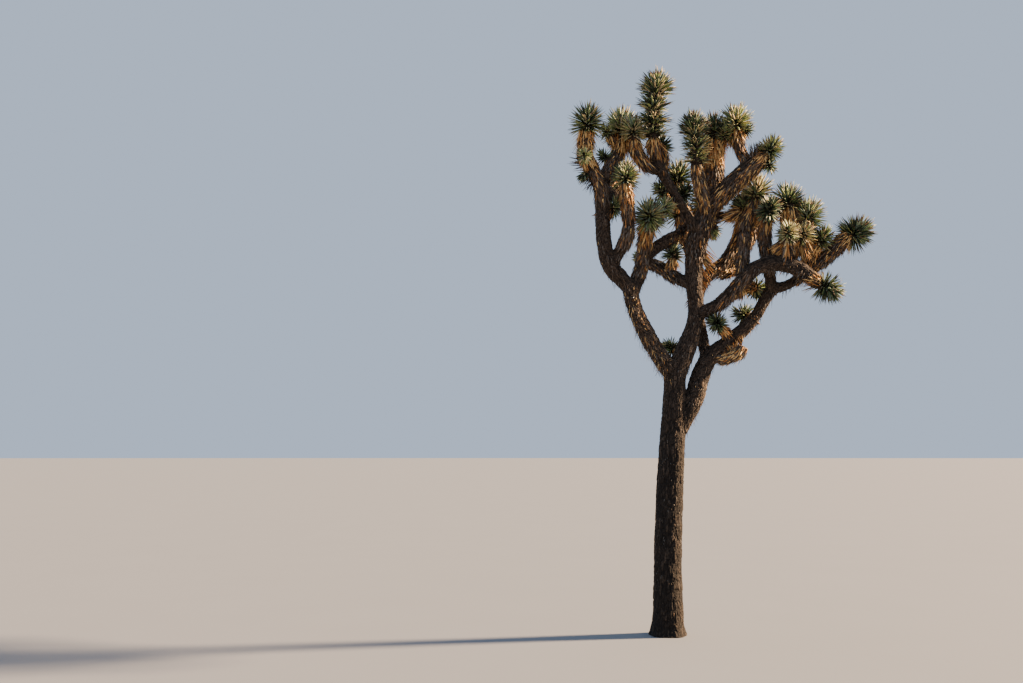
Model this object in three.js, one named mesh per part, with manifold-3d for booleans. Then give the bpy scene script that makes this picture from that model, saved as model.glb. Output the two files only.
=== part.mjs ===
// A joshua tree: one tall trunk that forks into three boughs, whose arms end in rosettes of
// dagger leaves above sleeves of dead leaves that lie folded back along the stem.
// Millimetres, +Z up, with the origin at the middle of the foot on level ground.
import * as THREE from 'three';
import { mergeVertices } from 'three/addons/utils/BufferGeometryUtils.js';
import Module from 'manifold-3d';

const wasm = await Module();
wasm.setup();
const { degToRad, lerp, seededRandom } = THREE.MathUtils;

// Spaces between the solids.
const seatGap = 0.3; // between solids that meet
const leafGap = 3; // least space between a leaf and any other solid
const tidyLength = 1.5; // edges shorter than this are closed up where leaves meet their stem

// Trunk: height, how far the middle leans across, and radius.
const trunkSides = 16;
const trunkStations = [
  [0, 0, 190],
  [50, 1, 172],
  [150, 4, 156],
  [330, 8, 147],
  [720, 12, 138],
  [1110, 30, 137],
  [1500, 52, 134],
  [1900, 80, 130],
  [2180, 104, 124],
  [2350, 110, 117],
  [2520, 114, 110],
];
const forkHeight = trunkStations.at(-1)[0];
const forkLean = trunkStations.at(-1)[1];

// Limbs and stems.
const limbSides = 8;
const limbRingSpacing = 200;
const stemSides = 6;
const stemRingSpacing = 200;

// Rosettes, larger than life so that few leaves fill the crown.
const leafReach = 212; // middle of a rosette to the tips of its leaves
const shortestLeaf = 0.9; // leaf lengths as shares of the reach
const longestLeaf = 1.04;
const leafWidth = 36;
const leafThickness = 16;
const leafCount = 18;
const leafSides = 3;
const spikeWidth = Math.sqrt(3); // of a three-sided spike with a radius of one
const spikeDepth = 1.5;
const topTilt = 14; // degrees from the stem's line to the youngest leaf
const lowTilt = 118; // and to the oldest green leaf
const goldenAngle = 137.5; // degrees from each leaf to the next round the stem
const tiltPlay = 8; // degrees that leaves of one place differ in tilt
const turnPlay = 16; // and round the stem
const topLeafDrop = 27; // from the bud's tip down to the highest leaf
const budLength = 45;
const budRadius = 14;
const coreRadius = 58;
const leafyStretch = 85; // length of stem that bears green leaves
const shortenings = [1, 0.78, 0.6]; // a leaf with something in its way is tried shorter

// Sleeves of dead leaves under the rosettes.
const sleeveRadius = 92;
const sleeveLength = 330;
const deadLeafLength = 150;
const deadLeafTilt = 148;
const deadLeafSpacing = 165; // of stem for each dead leaf that stands out
const bareShare = 0.5; // least share of a short shoot that stays below the sleeve's top
const bareFoot = 90; // length at a shoot's foot without dead leaves

// Every place on the tree is [across, up, back]: where it stands in the upright plane through
// the foot as seen from this point, then how far behind that plane it is (a minus is in front).
const eyePoint = new THREE.Vector3(-1530, -10000, 1730);

function place([across, up, back]) {
  const nearness = 1 - back / eyePoint.y;
  return new THREE.Vector3(across, 0, up).sub(eyePoint).multiplyScalar(nearness).add(eyePoint);
}

// Limbs, each after the one that bears it. A limb that continues another starts on its tip,
// and any other starts inside its bearer and is cut clear of it. Radii run evenly from foot to tip.
const limbs = [
  {
    name: 'centre_bough',
    continues: 'trunk',
    radii: [110, 106, 100, 84, 78, 84, 88, 92, 104, 108, 98],
    way: [[140, 2610, 0], [188, 2705, 0], [235, 2815, 0], [285, 2945, 0], [330, 3100, 0],
      [345, 3260, 0], [330, 3440, 0], [332, 3620, 0], [352, 3830, 0], [400, 4030, 0],
      [470, 4230, 0]],
  },
  {
    name: 'left_bough',
    radii: [90, 90, 86, 82, 78, 76],
    way: [[115, 2530, 0], [-10, 2710, -20], [-100, 2850, -50], [-175, 2995, -80],
      [-245, 3145, -110], [-300, 3310, -135], [-330, 3440, -150]],
  },
  {
    name: 'right_bough',
    radii: [84, 98, 100, 96, 86, 76, 72, 62, 58, 62],
    way: [[160, 2020, 0], [255, 2210, 10], [320, 2360, 25], [365, 2510, 45], [420, 2650, 60],
      [475, 2735, 70], [550, 2800, 70], [670, 2890, 60], [820, 3010, 40], [940, 3140, 20],
      [1010, 3260, 0], [1080, 3370, -20], [1130, 3440, -40]],
  },
  {
    name: 'left_outer_arm',
    continues: 'left_bough',
    radii: [76, 84, 82, 77, 75, 73, 70, 64],
    way: [[-395, 3520, -170], [-490, 3625, -210], [-552, 3755, -250], [-585, 3940, -290],
      [-592, 4150, -320], [-594, 4320, -330], [-610, 4500, -340], [-690, 4680, -365]],
  },
  {
    name: 'left_upper_arm',
    radii: [54, 60, 60],
    way: [[-590, 4520, -333], [-530, 4670, -270], [-470, 4780, -200], [-420, 4875, -165]],
  },
  {
    name: 'left_inner_arm',
    radii: [58, 62, 60],
    way: [[-520, 3650, -220], [-420, 3820, -290], [-352, 3960, -360], [-322, 4100, -420]],
  },
  {
    name: 'left_middle_arm',
    radii: [66, 68, 62],
    way: [[-300, 3380, -145], [-250, 3520, -110], [-202, 3660, -90], [-182, 3780, -85],
      [-168, 3870, -110]],
  },
  {
    name: 'left_cross_arm',
    radii: [56, 62, 58, 54],
    way: [[-190, 3735, -85], [-60, 3850, -10], [60, 3930, 70], [195, 4000, 170],
      [320, 4100, 290]],
  },
  {
    name: 'centre_left_limb',
    radii: [58, 62, 60, 54],
    way: [[320, 3460, 0], [190, 3525, 50], [90, 3590, 120], [-20, 3660, 200], [-140, 3712, 290]],
  },
  {
    name: 'spire_limb',
    radii: [46, 46, 46, 48, 54, 58],
    way: [[370, 3960, -20], [300, 4150, -110], [210, 4320, -170], [110, 4490, -210],
      [20, 4670, -240], [-40, 4860, -260]],
  },
  {
    name: 'centre_back_limb',
    radii: [50, 52, 50],
    way: [[390, 3960, 20], [310, 4120, 140], [220, 4300, 240], [170, 4450, 300]],
  },
  {
    name: 'crown_middle_stem',
    continues: 'centre_bough',
    radii: [98, 100, 102],
    way: [[525, 4410, 10], [556, 4590, 10], [560, 4740, 0]],
  },
  {
    name: 'crown_left_stem',
    radii: [58, 64, 64],
    way: [[475, 4180, -10], [458, 4320, -100], [424, 4470, -160], [398, 4610, -190],
      [384, 4730, -210]],
  },
  {
    name: 'crown_right_limb',
    radii: [70, 90, 100, 98, 86],
    way: [[480, 4220, -10], [592, 4380, -100], [730, 4510, -160], [870, 4640, -200],
      [1005, 4748, -230]],
  },
  {
    name: 'crown_right_upright',
    radii: [44, 47, 52],
    way: [[900, 4675, -205], [875, 4800, -165], [835, 4895, -130], [815, 4980, -110]],
  },
  {
    name: 'right_cross_bough',
    radii: [64, 64, 65, 68, 74],
    way: [[350, 3150, -5], [460, 3210, -45], [560, 3262, -90], [640, 3328, -130],
      [722, 3410, -170], [800, 3500, -205], [880, 3575, -235], [970, 3650, -265]],
  },
  {
    name: 'right_cross_arm',
    continues: 'right_cross_bough',
    radii: [74, 80, 80, 78, 66],
    way: [[1110, 3695, -290], [1260, 3690, -310], [1380, 3650, -320], [1470, 3590, -322],
      [1550, 3530, -325]],
  },
  {
    name: 'middle_upright',
    radii: [56, 58, 58],
    way: [[810, 3520, -208], [835, 3710, -180], [845, 3855, -150], [855, 4010, -130]],
  },
  {
    name: 'right_outer_arm',
    continues: 'right_bough',
    radii: [62, 48, 47, 54, 62, 68, 72],
    way: [[1245, 3455, -50], [1350, 3510, -55], [1440, 3575, -65], [1550, 3660, -75],
      [1650, 3730, -80], [1760, 3830, -70], [1840, 3910, -60]],
  },
  {
    name: 'right_upright',
    radii: [54, 58, 60],
    way: [[1115, 3400, -35], [1105, 3565, -85], [1085, 3740, -110], [1065, 3915, -130],
      [1070, 4040, -165]],
  },
  {
    name: 'dead_stub',
    radii: [52, 56, 60, 54],
    way: [[485, 2735, 70], [595, 2715, 30], [695, 2740, -5], [780, 2785, -30],
      [820, 2840, -45]],
  },
  {
    name: 'back_bough',
    radii: [60, 62, 60, 60, 62, 60],
    way: [[435, 2730, 70], [400, 2940, 170], [362, 3160, 240], [365, 3360, 300],
      [425, 3520, 350], [520, 3612, 390], [640, 3705, 420], [725, 3830, 445], [790, 3950, 465]],
  },
  {
    name: 'back_right_limb',
    radii: [48, 50, 50],
    way: [[650, 3725, 425], [770, 3775, 560], [858, 3850, 700], [925, 3960, 820]],
  },
  {
    name: 'rear_bough',
    radii: [54, 58, 54],
    way: [[375, 3070, 215], [330, 3290, 400], [332, 3530, 570], [360, 3780, 710],
      [420, 4000, 820]],
  },
];

// Masses of leaves. Each has one or more shoots, and a shoot ends at the middle of its rosette.
// A mass on a tip continues its bearer, any other starts inside its bearer and is cut clear of it.
const masses = [
  {
    name: 'spire_rosette',
    continues: 'spire_limb',
    shoots: [{ way: [[-58, 5010, -270], [-56, 5300, -288], [-16, 5580, -305]],
      column: 450, columnLeaves: 30, sleeve: 640 }],
  },
  {
    name: 'left_outer_rosette',
    continues: 'left_outer_arm',
    shoots: [
      { way: [[-762, 4830, -388], [-758, 4990, -410], [-738, 5195, -440]], leaves: 20 },
      { way: [[-755, 4800, -388], [-775, 4825, -500]], leaves: 8, reach: 110, stem: 30 },
      { way: [[-700, 4710, -367], [-775, 4630, -350]], leaves: 7, reach: 120, stem: 28 },
    ],
  },
  {
    name: 'left_upper_rosette',
    continues: 'left_upper_arm',
    shoots: [
      { way: [[-395, 4970, -150], [-388, 5135, -120]], leaves: 20 },
      { way: [[-405, 4935, -157], [-490, 4985, -205], [-545, 5080, -230]], leaves: 9, reach: 110,
        stem: 30 },
    ],
  },
  {
    name: 'left_elbow_sprout',
    shoots: [{ way: [[-500, 4730, -235], [-575, 4815, -228]], leaves: 9, reach: 110, stem: 30 }],
  },
  {
    name: 'spire_left_rosette',
    shoots: [{ way: [[20, 4650, -240], [-110, 4705, -232], [-195, 4800, -238],
      [-250, 4920, -245], [-268, 5105, -262]], leaves: 20, stem: 50 }],
  },
  {
    name: 'spire_side_rosette',
    shoots: [{ way: [[20, 4660, -238], [40, 4780, -140], [20, 4930, -95]], leaves: 14,
      reach: 150, stem: 38 }],
  },
  {
    name: 'left_inner_rosette',
    continues: 'left_inner_arm',
    shoots: [{ way: [[-335, 4270, -455], [-345, 4440, -480], [-360, 4610, -500]], leaves: 16,
      reach: 160 }],
  },
  {
    name: 'left_middle_rosette',
    continues: 'left_middle_arm',
    shoots: [
      { way: [[-145, 4030, -200], [-110, 4200, -340]] },
      { way: [[-150, 4010, -180], [-40, 4150, -160], [45, 4280, -170]], leaves: 12, reach: 150,
        stem: 36 },
    ],
  },
  {
    name: 'left_cross_rosette',
    continues: 'left_cross_arm',
    shoots: [{ way: [[430, 4220, 360], [510, 4340, 450]] }],
  },
  {
    name: 'centre_left_rosette',
    continues: 'centre_left_limb',
    shoots: [{ way: [[-185, 3730, 345], [-205, 3745, 400]], leaves: 12, reach: 120 }],
  },
  {
    name: 'centre_left_sprout',
    shoots: [{ way: [[80, 3610, 125], [112, 3710, 110], [118, 3800, 120]], leaves: 12, reach: 150,
      stem: 36 }],
  },
  {
    name: 'centre_back_rosette',
    continues: 'centre_back_limb',
    shoots: [{ way: [[182, 4600, 330]] }],
  },
  {
    name: 'centre_back_sprout',
    shoots: [
      { way: [[240, 4260, 215], [120, 4340, 240], [20, 4460, 275]], leaves: 14, reach: 150,
        stem: 38 },
      { way: [[150, 4320, 232], [190, 4330, 130], [245, 4420, 85]], leaves: 14, reach: 150,
        stem: 36 },
    ],
  },
  {
    name: 'crown_left_rosette',
    continues: 'crown_left_stem',
    shoots: [{ way: [[384, 4885, -222], [370, 5015, -235], [360, 5130, -245]], leaves: 20,
      reach: 200, column: 300, columnLeaves: 14 }],
  },
  {
    name: 'crown_middle_rosette',
    continues: 'crown_middle_stem',
    shoots: [
      { way: [[568, 4930, -20], [563, 5105, -35]], leaves: 20 },
      { way: [[580, 4870, -10], [645, 4965, -60], [698, 5065, -80]], leaves: 14, reach: 165,
        stem: 46 },
    ],
  },
  {
    name: 'crown_right_upright_rosette',
    continues: 'crown_right_upright',
    shoots: [
      { way: [[800, 5055, -100], [795, 5195, -90]], leaves: 20 },
      { way: [[803, 5030, -103], [872, 5045, -112], [915, 5095, -118]], leaves: 6, reach: 100,
        stem: 26 },
    ],
  },
  {
    name: 'crown_right_rosette',
    continues: 'crown_right_limb',
    shoots: [
      { way: [[1080, 4820, -245], [1155, 4905, -258]], reach: 165, leaves: 18 },
      { way: [[1060, 4800, -242], [1130, 4720, -255]], leaves: 8, reach: 110, stem: 32 },
      { way: [[1042, 4785, -238], [1048, 4880, -228]], leaves: 6, reach: 95, stem: 26 },
    ],
  },
  {
    name: 'middle_upright_rosette',
    continues: 'middle_upright',
    shoots: [{ way: [[885, 4120, -112], [945, 4270, -75], [995, 4445, -60]] }],
  },
  {
    name: 'right_upright_rosette',
    continues: 'right_upright',
    shoots: [{ way: [[1085, 4155, -230], [1115, 4260, -330]], leaves: 16, reach: 165 }],
  },
  {
    name: 'right_cluster_rosette',
    shoots: [
      { way: [[1255, 3700, -308], [1320, 3840, -255], [1332, 3980, -205], [1330, 4190, -165],
        [1315, 4350, -140]], leaves: 20, stem: 54 },
      { way: [[1325, 3905, -235], [1425, 4015, -185], [1490, 4110, -165], [1515, 4195, -158]],
        stem: 48 },
      { way: [[1320, 3850, -255], [1290, 3925, -330], [1305, 4015, -400]], leaves: 14, reach: 150,
        stem: 40 },
      { way: [[1340, 3885, -245], [1415, 3950, -290], [1465, 4000, -320]], leaves: 12, reach: 150,
        stem: 40 },
    ],
  },
  {
    name: 'right_forearm_rosette',
    shoots: [{ way: [[1480, 3625, -75], [1510, 3745, -95], [1570, 3850, -115],
      [1645, 3950, -130]], reach: 165, leaves: 18, stem: 44 }],
  },
  {
    name: 'right_outer_rosette',
    continues: 'right_outer_arm',
    shoots: [{ way: [[1900, 3955, -50], [2005, 4015, -35]], leaves: 24, reach: 215 }],
  },
  {
    name: 'right_drooping_rosette',
    continues: 'right_cross_arm',
    shoots: [{ way: [[1620, 3480, -330], [1695, 3445, -335]], reach: 190, leaves: 20,
      sleeve: 60 }],
  },
  {
    name: 'right_hanging_rosette',
    shoots: [{ way: [[780, 3480, -198], [840, 3470, -100], [910, 3450, 0], [970, 3430, 70]],
      reach: 145, leaves: 16, stem: 40 }],
  },
  {
    name: 'right_bough_sprout',
    shoots: [{ way: [[920, 3120, 25], [880, 3140, 110], [820, 3165, 160]], reach: 150,
      leaves: 14, stem: 38 }],
  },
  {
    name: 'low_spur_rosette',
    shoots: [{ way: [[685, 2900, 58], [635, 2985, 15], [585, 3040, -25], [548, 3085, -45]],
      reach: 140, leaves: 16, stem: 52 }],
  },
  {
    name: 'fork_sprout',
    shoots: [{ way: [[190, 2745, 0], [160, 2785, 80], [110, 2815, 130], [75, 2835, 150]],
      reach: 125, leaves: 12, stem: 36 }],
  },
  {
    name: 'centre_right_rosette',
    shoots: [
      { way: [[455, 4180, -5], [600, 4192, -10], [740, 4200, -40], [840, 4240, -30],
        [890, 4300, -10]], leaves: 18, reach: 190, stem: 34 },
      { way: [[530, 4188, -8], [540, 4110, 40], [540, 4040, 75]], leaves: 12, reach: 120,
        stem: 28 },
    ],
  },
  {
    name: 'left_outer_sprout',
    shoots: [{ way: [[-600, 4190, -323], [-535, 4220, -285], [-475, 4285, -262]], reach: 140,
      leaves: 12, stem: 40 }],
  },
  {
    name: 'back_rosette',
    continues: 'back_bough',
    shoots: [{ way: [[830, 4070, 490], [862, 4190, 505], [875, 4300, 525]] }],
  },
  {
    name: 'back_right_rosette',
    continues: 'back_right_limb',
    shoots: [{ way: [[985, 4080, 900], [1050, 4210, 960]], leaves: 16 }],
  },
  {
    name: 'back_low_rosette',
    shoots: [{ way: [[545, 3630, 398], [650, 3600, 500], [735, 3660, 610], [770, 3740, 680]],
      leaves: 18, reach: 170, stem: 44 }],
  },
  {
    name: 'rear_rosette',
    continues: 'rear_bough',
    shoots: [{ way: [[445, 4190, 920], [462, 4360, 990]], leaves: 16 }],
  },
  {
    name: 'rear_left_rosette',
    shoots: [{ way: [[335, 3580, 600], [290, 3830, 790], [230, 4060, 940], [195, 4240, 1010]],
      leaves: 16, stem: 52 }],
  },
  {
    name: 'left_rear_rosette',
    shoots: [{ way: [[-605, 4290, -330], [-530, 4380, -150], [-450, 4460, 60], [-400, 4530, 220],
      [-375, 4620, 330]], leaves: 16, stem: 52 }],
  },
];

// A closed geometry becomes a solid that can be cut and joined.
function solidOf(geometry) {
  const bare = geometry.clone();
  bare.deleteAttribute('normal');
  bare.deleteAttribute('uv');
  const merged = mergeVertices(bare);
  return new wasm.Manifold(new wasm.Mesh({
    numProp: 3,
    vertProperties: new Float32Array(merged.attributes.position.array),
    triVerts: new Uint32Array(merged.index.array),
  }));
}

// The largest piece of a solid, so that scraps and sealed hollows fall away.
function largestPiece(solid) {
  const pieces = solid.decompose();
  pieces.sort((a, b) => b.volume() - a.volume());
  return pieces[0];
}

// The radius at a share of the way along a row of evenly spread radii.
function spreadRadius(radii, share) {
  const step = share * (radii.length - 1);
  const low = Math.min(Math.floor(step), radii.length - 2);
  return lerp(radii[low], radii[low + 1], step - low);
}

// Two directions square to the stem's line and to each other.
function crossDirections(along) {
  const back = new THREE.Vector3(0, 1, 0);
  const normal = back.addScaledVector(along, -back.dot(along)).normalize();
  return { normal, side: new THREE.Vector3().crossVectors(along, normal) };
}

// A stem of round section along a curve. Each station is [distance along, radius]. Growing it
// gives the space that its neighbours are cut back from.
function bentSolid({ curve, stations, sides, footDirection }, growth = 0) {
  const last = stations.length - 1;
  const length = curve.getLength();
  const sideGrowth = growth / Math.cos(Math.PI / sides);
  const rings = stations.map(([distance, radius], index) => {
    const share = Math.min(distance / length, 1);
    const along = index === 0 && footDirection ? footDirection : curve.getTangentAt(share);
    const endGrowth = growth * ((index === last) - (index === 0));
    const middle = curve.getPointAt(share).addScaledVector(along, endGrowth);
    return { middle, radius: radius + sideGrowth, ...crossDirections(along) };
  });
  const geometry = new THREE.CylinderGeometry(1, 1, 1, sides, last);
  const { position } = geometry.attributes;
  for (let index = 0; index < position.count; index += 1) {
    const ring = rings[Math.round((position.getY(index) + 0.5) * last)];
    const point = ring.middle.clone()
      .addScaledVector(ring.side, position.getX(index) * ring.radius)
      .addScaledVector(ring.normal, position.getZ(index) * ring.radius);
    position.setXYZ(index, point.x, point.y, point.z);
  }
  return solidOf(geometry);
}

// The trunk has level rings, so that its foot is flat on the ground and its fork is flat too.
function trunkSolid(growth = 0) {
  const last = trunkStations.length - 1;
  const geometry = new THREE.CylinderGeometry(1, 1, 1, trunkSides, last);
  const { position } = geometry.attributes;
  const sideGrowth = growth / Math.cos(Math.PI / trunkSides);
  for (let index = 0; index < position.count; index += 1) {
    const ring = Math.round((position.getY(index) + 0.5) * last);
    const [height, lean, radius] = trunkStations[ring];
    const reach = radius + sideGrowth;
    const rise = growth * ((ring === last) - (ring === 0));
    position.setXYZ(index, lean + position.getX(index) * reach,
      -position.getZ(index) * reach, height + rise);
  }
  return solidOf(geometry);
}

// The curve of a limb or shoot, begun on its bearer's tip where it continues one.
function wayCurve(way, bearer) {
  const points = way.map(place);
  if (bearer) {
    points.unshift(bearer.tip.clone().addScaledVector(bearer.direction, seatGap));
  }
  return new THREE.CatmullRomCurve3(points, false, 'centripetal');
}

// Evenly spread stations, about the given spacing apart.
function evenStations(length, radii, spacing) {
  const count = Math.max(2, Math.round(length / spacing));
  return Array.from({ length: count + 1 }, (_, index) => {
    const share = index / count;
    return [share * length, spreadRadius(radii, share)];
  });
}

const bearers = new Map(); // tip, direction and radius of each limb
const bodies = []; // what each limb and stem fills, and the space kept round it

function boxesMeet(a, b, margin) {
  return [0, 1, 2].every((axis) => a.min[axis] - margin < b.max[axis]
    && b.min[axis] - margin < a.max[axis]);
}

// Cuts a solid clear of the given bodies.
function cutClear(solid, earlier) {
  let clear = solid;
  for (const body of earlier) {
    if (boxesMeet(clear.boundingBox(), body.space.boundingBox(), 0)) {
      clear = clear.subtract(body.space);
    }
  }
  return largestPiece(clear);
}

function addTrunk() {
  bodies.push({ name: 'trunk', solid: trunkSolid(), space: trunkSolid(seatGap) });
  bearers.set('trunk', {
    tip: new THREE.Vector3(forkLean, 0, forkHeight),
    direction: new THREE.Vector3(0, 0, 1),
    radius: trunkStations.at(-1)[2],
  });
}

function addLimb({ name, continues, radii, way }) {
  const bearer = bearers.get(continues);
  const curve = wayCurve(way, bearer);
  const shape = {
    curve,
    stations: evenStations(curve.getLength(), radii, limbRingSpacing),
    sides: limbSides,
    footDirection: bearer?.direction,
  };
  const solid = cutClear(bentSolid(shape), bodies);
  bodies.push({ name, solid, space: bentSolid(shape, seatGap) });
  bearers.set(name, {
    tip: curve.getPointAt(1),
    direction: curve.getTangentAt(1),
    radius: radii.at(-1),
  });
}

// Stations of a shoot: stem, sleeve of dead leaves, core of the rosette, bud.
function shootStations(length, stemRadius, sleeve, thickness) {
  const middle = length - budLength;
  const sleeveTop = Math.max(middle - leafyStretch, middle * bareShare);
  const bareLength = sleeveTop - sleeve;
  const sleeveFoot = bareLength > budLength ? bareLength : 0;
  const stations = sleeveFoot > 0 ? [[0, stemRadius]] : [];
  const count = Math.max(1, Math.round((sleeveTop - sleeveFoot) / stemRingSpacing));
  for (let index = 0; index <= count; index += 1) {
    const share = index / count;
    stations.push([lerp(sleeveFoot, sleeveTop, share),
      lerp(stemRadius, sleeveRadius * thickness, share)]);
  }
  stations.push([middle, coreRadius * thickness], [length, budRadius]);
  return stations;
}

// A shoot's curve runs on past the middle of its rosette to the tip of the bud.
function shootShape(shoot, bearer) {
  const stem = wayCurve(shoot.way, bearer);
  const points = stem.points.slice();
  points.push(stem.getPointAt(1).addScaledVector(stem.getTangentAt(1), budLength));
  const curve = new THREE.CatmullRomCurve3(points, false, 'centripetal');
  const thickness = (shoot.reach ?? leafReach) / leafReach;
  const stemRadius = bearer?.radius ?? shoot.stem;
  return {
    curve,
    stations: shootStations(curve.getLength(), stemRadius, shoot.sleeve ?? sleeveLength, thickness),
    sides: stemSides,
    footDirection: bearer?.direction,
  };
}

function addMassBody({ name, continues, shoots }) {
  const shapes = shoots.map((shoot, index) => shootShape(shoot,
    index === 0 ? bearers.get(continues) : undefined));
  const whole = wasm.Manifold.union(shapes.map((shape) => bentSolid(shape)));
  const space = wasm.Manifold.union(shapes.map((shape) => bentSolid(shape, seatGap)));
  const earlier = bodies.slice();
  bodies.push({ name, solid: cutClear(whole, earlier), space, whole, earlier, shapes, shoots });
}

// One dagger leaf: a three-sided spike with its keel underneath.
function leafSolid(root, direction, axis, length) {
  const keel = axis.clone().addScaledVector(direction, -axis.dot(direction)).negate().normalize();
  const side = new THREE.Vector3().crossVectors(direction, keel);
  const geometry = new THREE.ConeGeometry(1, 1, leafSides);
  geometry.translate(0, 0.5, 0);
  geometry.applyMatrix4(new THREE.Matrix4().makeBasis(
    side.multiplyScalar(leafWidth / spikeWidth),
    direction.clone().multiplyScalar(length),
    keel.multiplyScalar(leafThickness / spikeDepth),
  ).setPosition(root));
  return solidOf(geometry);
}

// The direction tilted away from an axis, at a turn round it.
function directionAt(axis, tilt, turn) {
  const { normal, side } = crossDirections(axis);
  return axis.clone().multiplyScalar(Math.cos(tilt))
    .addScaledVector(normal, Math.sin(tilt) * Math.cos(turn))
    .addScaledVector(side, Math.sin(tilt) * Math.sin(turn));
}

// A seeded offset within the given play.
function spread(play) {
  return play * (seededRandom() - 0.5);
}

// Green leaves wind down from the bud, each tilted further out than the one above it.
function greenLeaves(shape, shoot) {
  const { curve } = shape;
  const length = curve.getLength();
  const reach = shoot.reach ?? leafReach;
  const crownLeaves = shoot.leaves ?? leafCount;
  const columnLeaves = shoot.columnLeaves ?? 0;
  const wishes = [];
  for (let index = 0; index < crownLeaves + columnLeaves; index += 1) {
    const share = Math.min((index + 0.5) / crownLeaves, 1);
    const below = Math.max(index - crownLeaves, 0) / Math.max(columnLeaves, 1);
    const cosine = lerp(Math.cos(degToRad(topTilt)), Math.cos(degToRad(lowTilt)), share);
    const tilt = Math.acos(cosine) + degToRad(spread(tiltPlay));
    const turn = degToRad(index * goldenAngle + spread(turnPlay));
    const drop = topLeafDrop + share * leafyStretch + below * (shoot.column ?? 0);
    wishes.push({
      root: curve.getPointAt(1 - drop / length),
      axis: curve.getTangentAt(1 - drop / length),
      tilt,
      turn,
      length: reach * lerp(shortestLeaf, longestLeaf, seededRandom()),
    });
  }
  return wishes;
}

// Dead leaves hang folded back along the sleeve.
function deadLeaves(shape, shoot) {
  const { curve, stations } = shape;
  const length = curve.getLength();
  const sleeveTop = length - budLength - leafyStretch - (shoot.column ?? 0);
  const sleeveFoot = Math.max(sleeveTop - sleeveLength, bareFoot);
  const wishes = [];
  const radius = Math.max(...stations.map((station) => station[1]));
  for (let distance = sleeveTop; distance > sleeveFoot; distance -= deadLeafSpacing) {
    const axis = curve.getTangentAt(distance / length);
    const turn = degToRad(distance / deadLeafSpacing * goldenAngle);
    const root = curve.getPointAt(distance / length)
      .addScaledVector(directionAt(axis, Math.PI / 2, turn), radius / 2);
    wishes.push({ root, axis, tilt: degToRad(deadLeafTilt), turn, length: deadLeafLength });
  }
  return wishes;
}

// A leaf is kept only where it stays clear of every other limb, stem and mass.
function clearLeaf(wish, others) {
  const direction = directionAt(wish.axis, wish.tilt, wish.turn);
  for (const shortening of shortenings) {
    const leaf = leafSolid(wish.root, direction, wish.axis, wish.length * shortening);
    const box = leaf.boundingBox();
    const isClear = others.every((other) => !boxesMeet(box, other.boundingBox(), leafGap)
      || leaf.minGap(other, leafGap) >= leafGap);
    if (isClear) {
      return leaf;
    }
  }
  return null;
}

function leafedMass(body) {
  const others = bodies.filter((other) => other !== body).map((other) => other.solid);
  const leaves = [];
  body.shoots.forEach((shoot, index) => {
    const shape = body.shapes[index];
    const wishes = greenLeaves(shape, shoot);
    if (index === 0) {
      wishes.push(...deadLeaves(shape, shoot));
    }
    for (const wish of wishes) {
      const leaf = clearLeaf(wish, others);
      if (leaf) {
        leaves.push(leaf);
      }
    }
  });
  const leafed = wasm.Manifold.union([body.whole, ...leaves]).simplify(tidyLength);
  return cutClear(leafed, body.earlier);
}

const leafSeed = 7;

addTrunk();
limbs.forEach(addLimb);
masses.forEach(addMassBody);
seededRandom(leafSeed);
for (const body of bodies) {
  if (body.shoots) {
    body.solid = leafedMass(body);
  }
}

const bark = new THREE.MeshStandardMaterial({ color: 0x5b4535, roughness: 0.95, metalness: 0 });
const weatheredWood = new THREE.MeshStandardMaterial({
  color: 0x756454, roughness: 0.95, metalness: 0,
});
const leafGreen = new THREE.MeshStandardMaterial({ color: 0x6f7a45, roughness: 0.6, metalness: 0 });

function materialOf(body) {
  if (body.shoots) {
    return leafGreen;
  }
  return body.name === 'dead_stub' ? weatheredWood : bark;
}

const tree = new THREE.Group();
tree.name = 'joshua_tree';
for (const body of bodies) {
  const { vertProperties, triVerts } = body.solid.getMesh();
  const geometry = new THREE.BufferGeometry();
  geometry.setAttribute('position', new THREE.BufferAttribute(vertProperties, 3));
  geometry.setIndex(new THREE.BufferAttribute(triVerts, 1));
  const mesh = new THREE.Mesh(geometry, materialOf(body));
  mesh.name = body.name;
  tree.add(mesh);
}

export default tree;
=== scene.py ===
# A joshua tree, dressed for the camera: rough bark over trunk and boughs, sleeves of dead
# leaves folded back along the stems, and rosettes of green dagger leaves at every tip.
import math

import bmesh
import bpy
import numpy as np
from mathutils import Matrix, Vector, kdtree, noise


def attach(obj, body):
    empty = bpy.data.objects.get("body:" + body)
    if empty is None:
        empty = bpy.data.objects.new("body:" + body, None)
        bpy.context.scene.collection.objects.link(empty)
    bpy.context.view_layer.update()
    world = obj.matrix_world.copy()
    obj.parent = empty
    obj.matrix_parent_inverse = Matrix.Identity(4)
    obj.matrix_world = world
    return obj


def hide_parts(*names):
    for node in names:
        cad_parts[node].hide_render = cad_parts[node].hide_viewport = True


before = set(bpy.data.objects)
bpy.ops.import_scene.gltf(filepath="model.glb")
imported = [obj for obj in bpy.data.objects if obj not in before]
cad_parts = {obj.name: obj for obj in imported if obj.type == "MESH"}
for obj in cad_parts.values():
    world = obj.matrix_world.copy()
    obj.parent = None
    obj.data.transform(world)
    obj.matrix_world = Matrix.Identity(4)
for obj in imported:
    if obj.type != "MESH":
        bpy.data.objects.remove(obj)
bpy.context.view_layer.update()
bpy.ops.object.select_all(action="DESELECT")
print("frame loaded:", len(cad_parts), "nodes")


# the way every limb and shoot runs, as in the solids

eyePoint = np.array((-1.53, -10.0, 1.73))  # the places below are as seen from here

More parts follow.
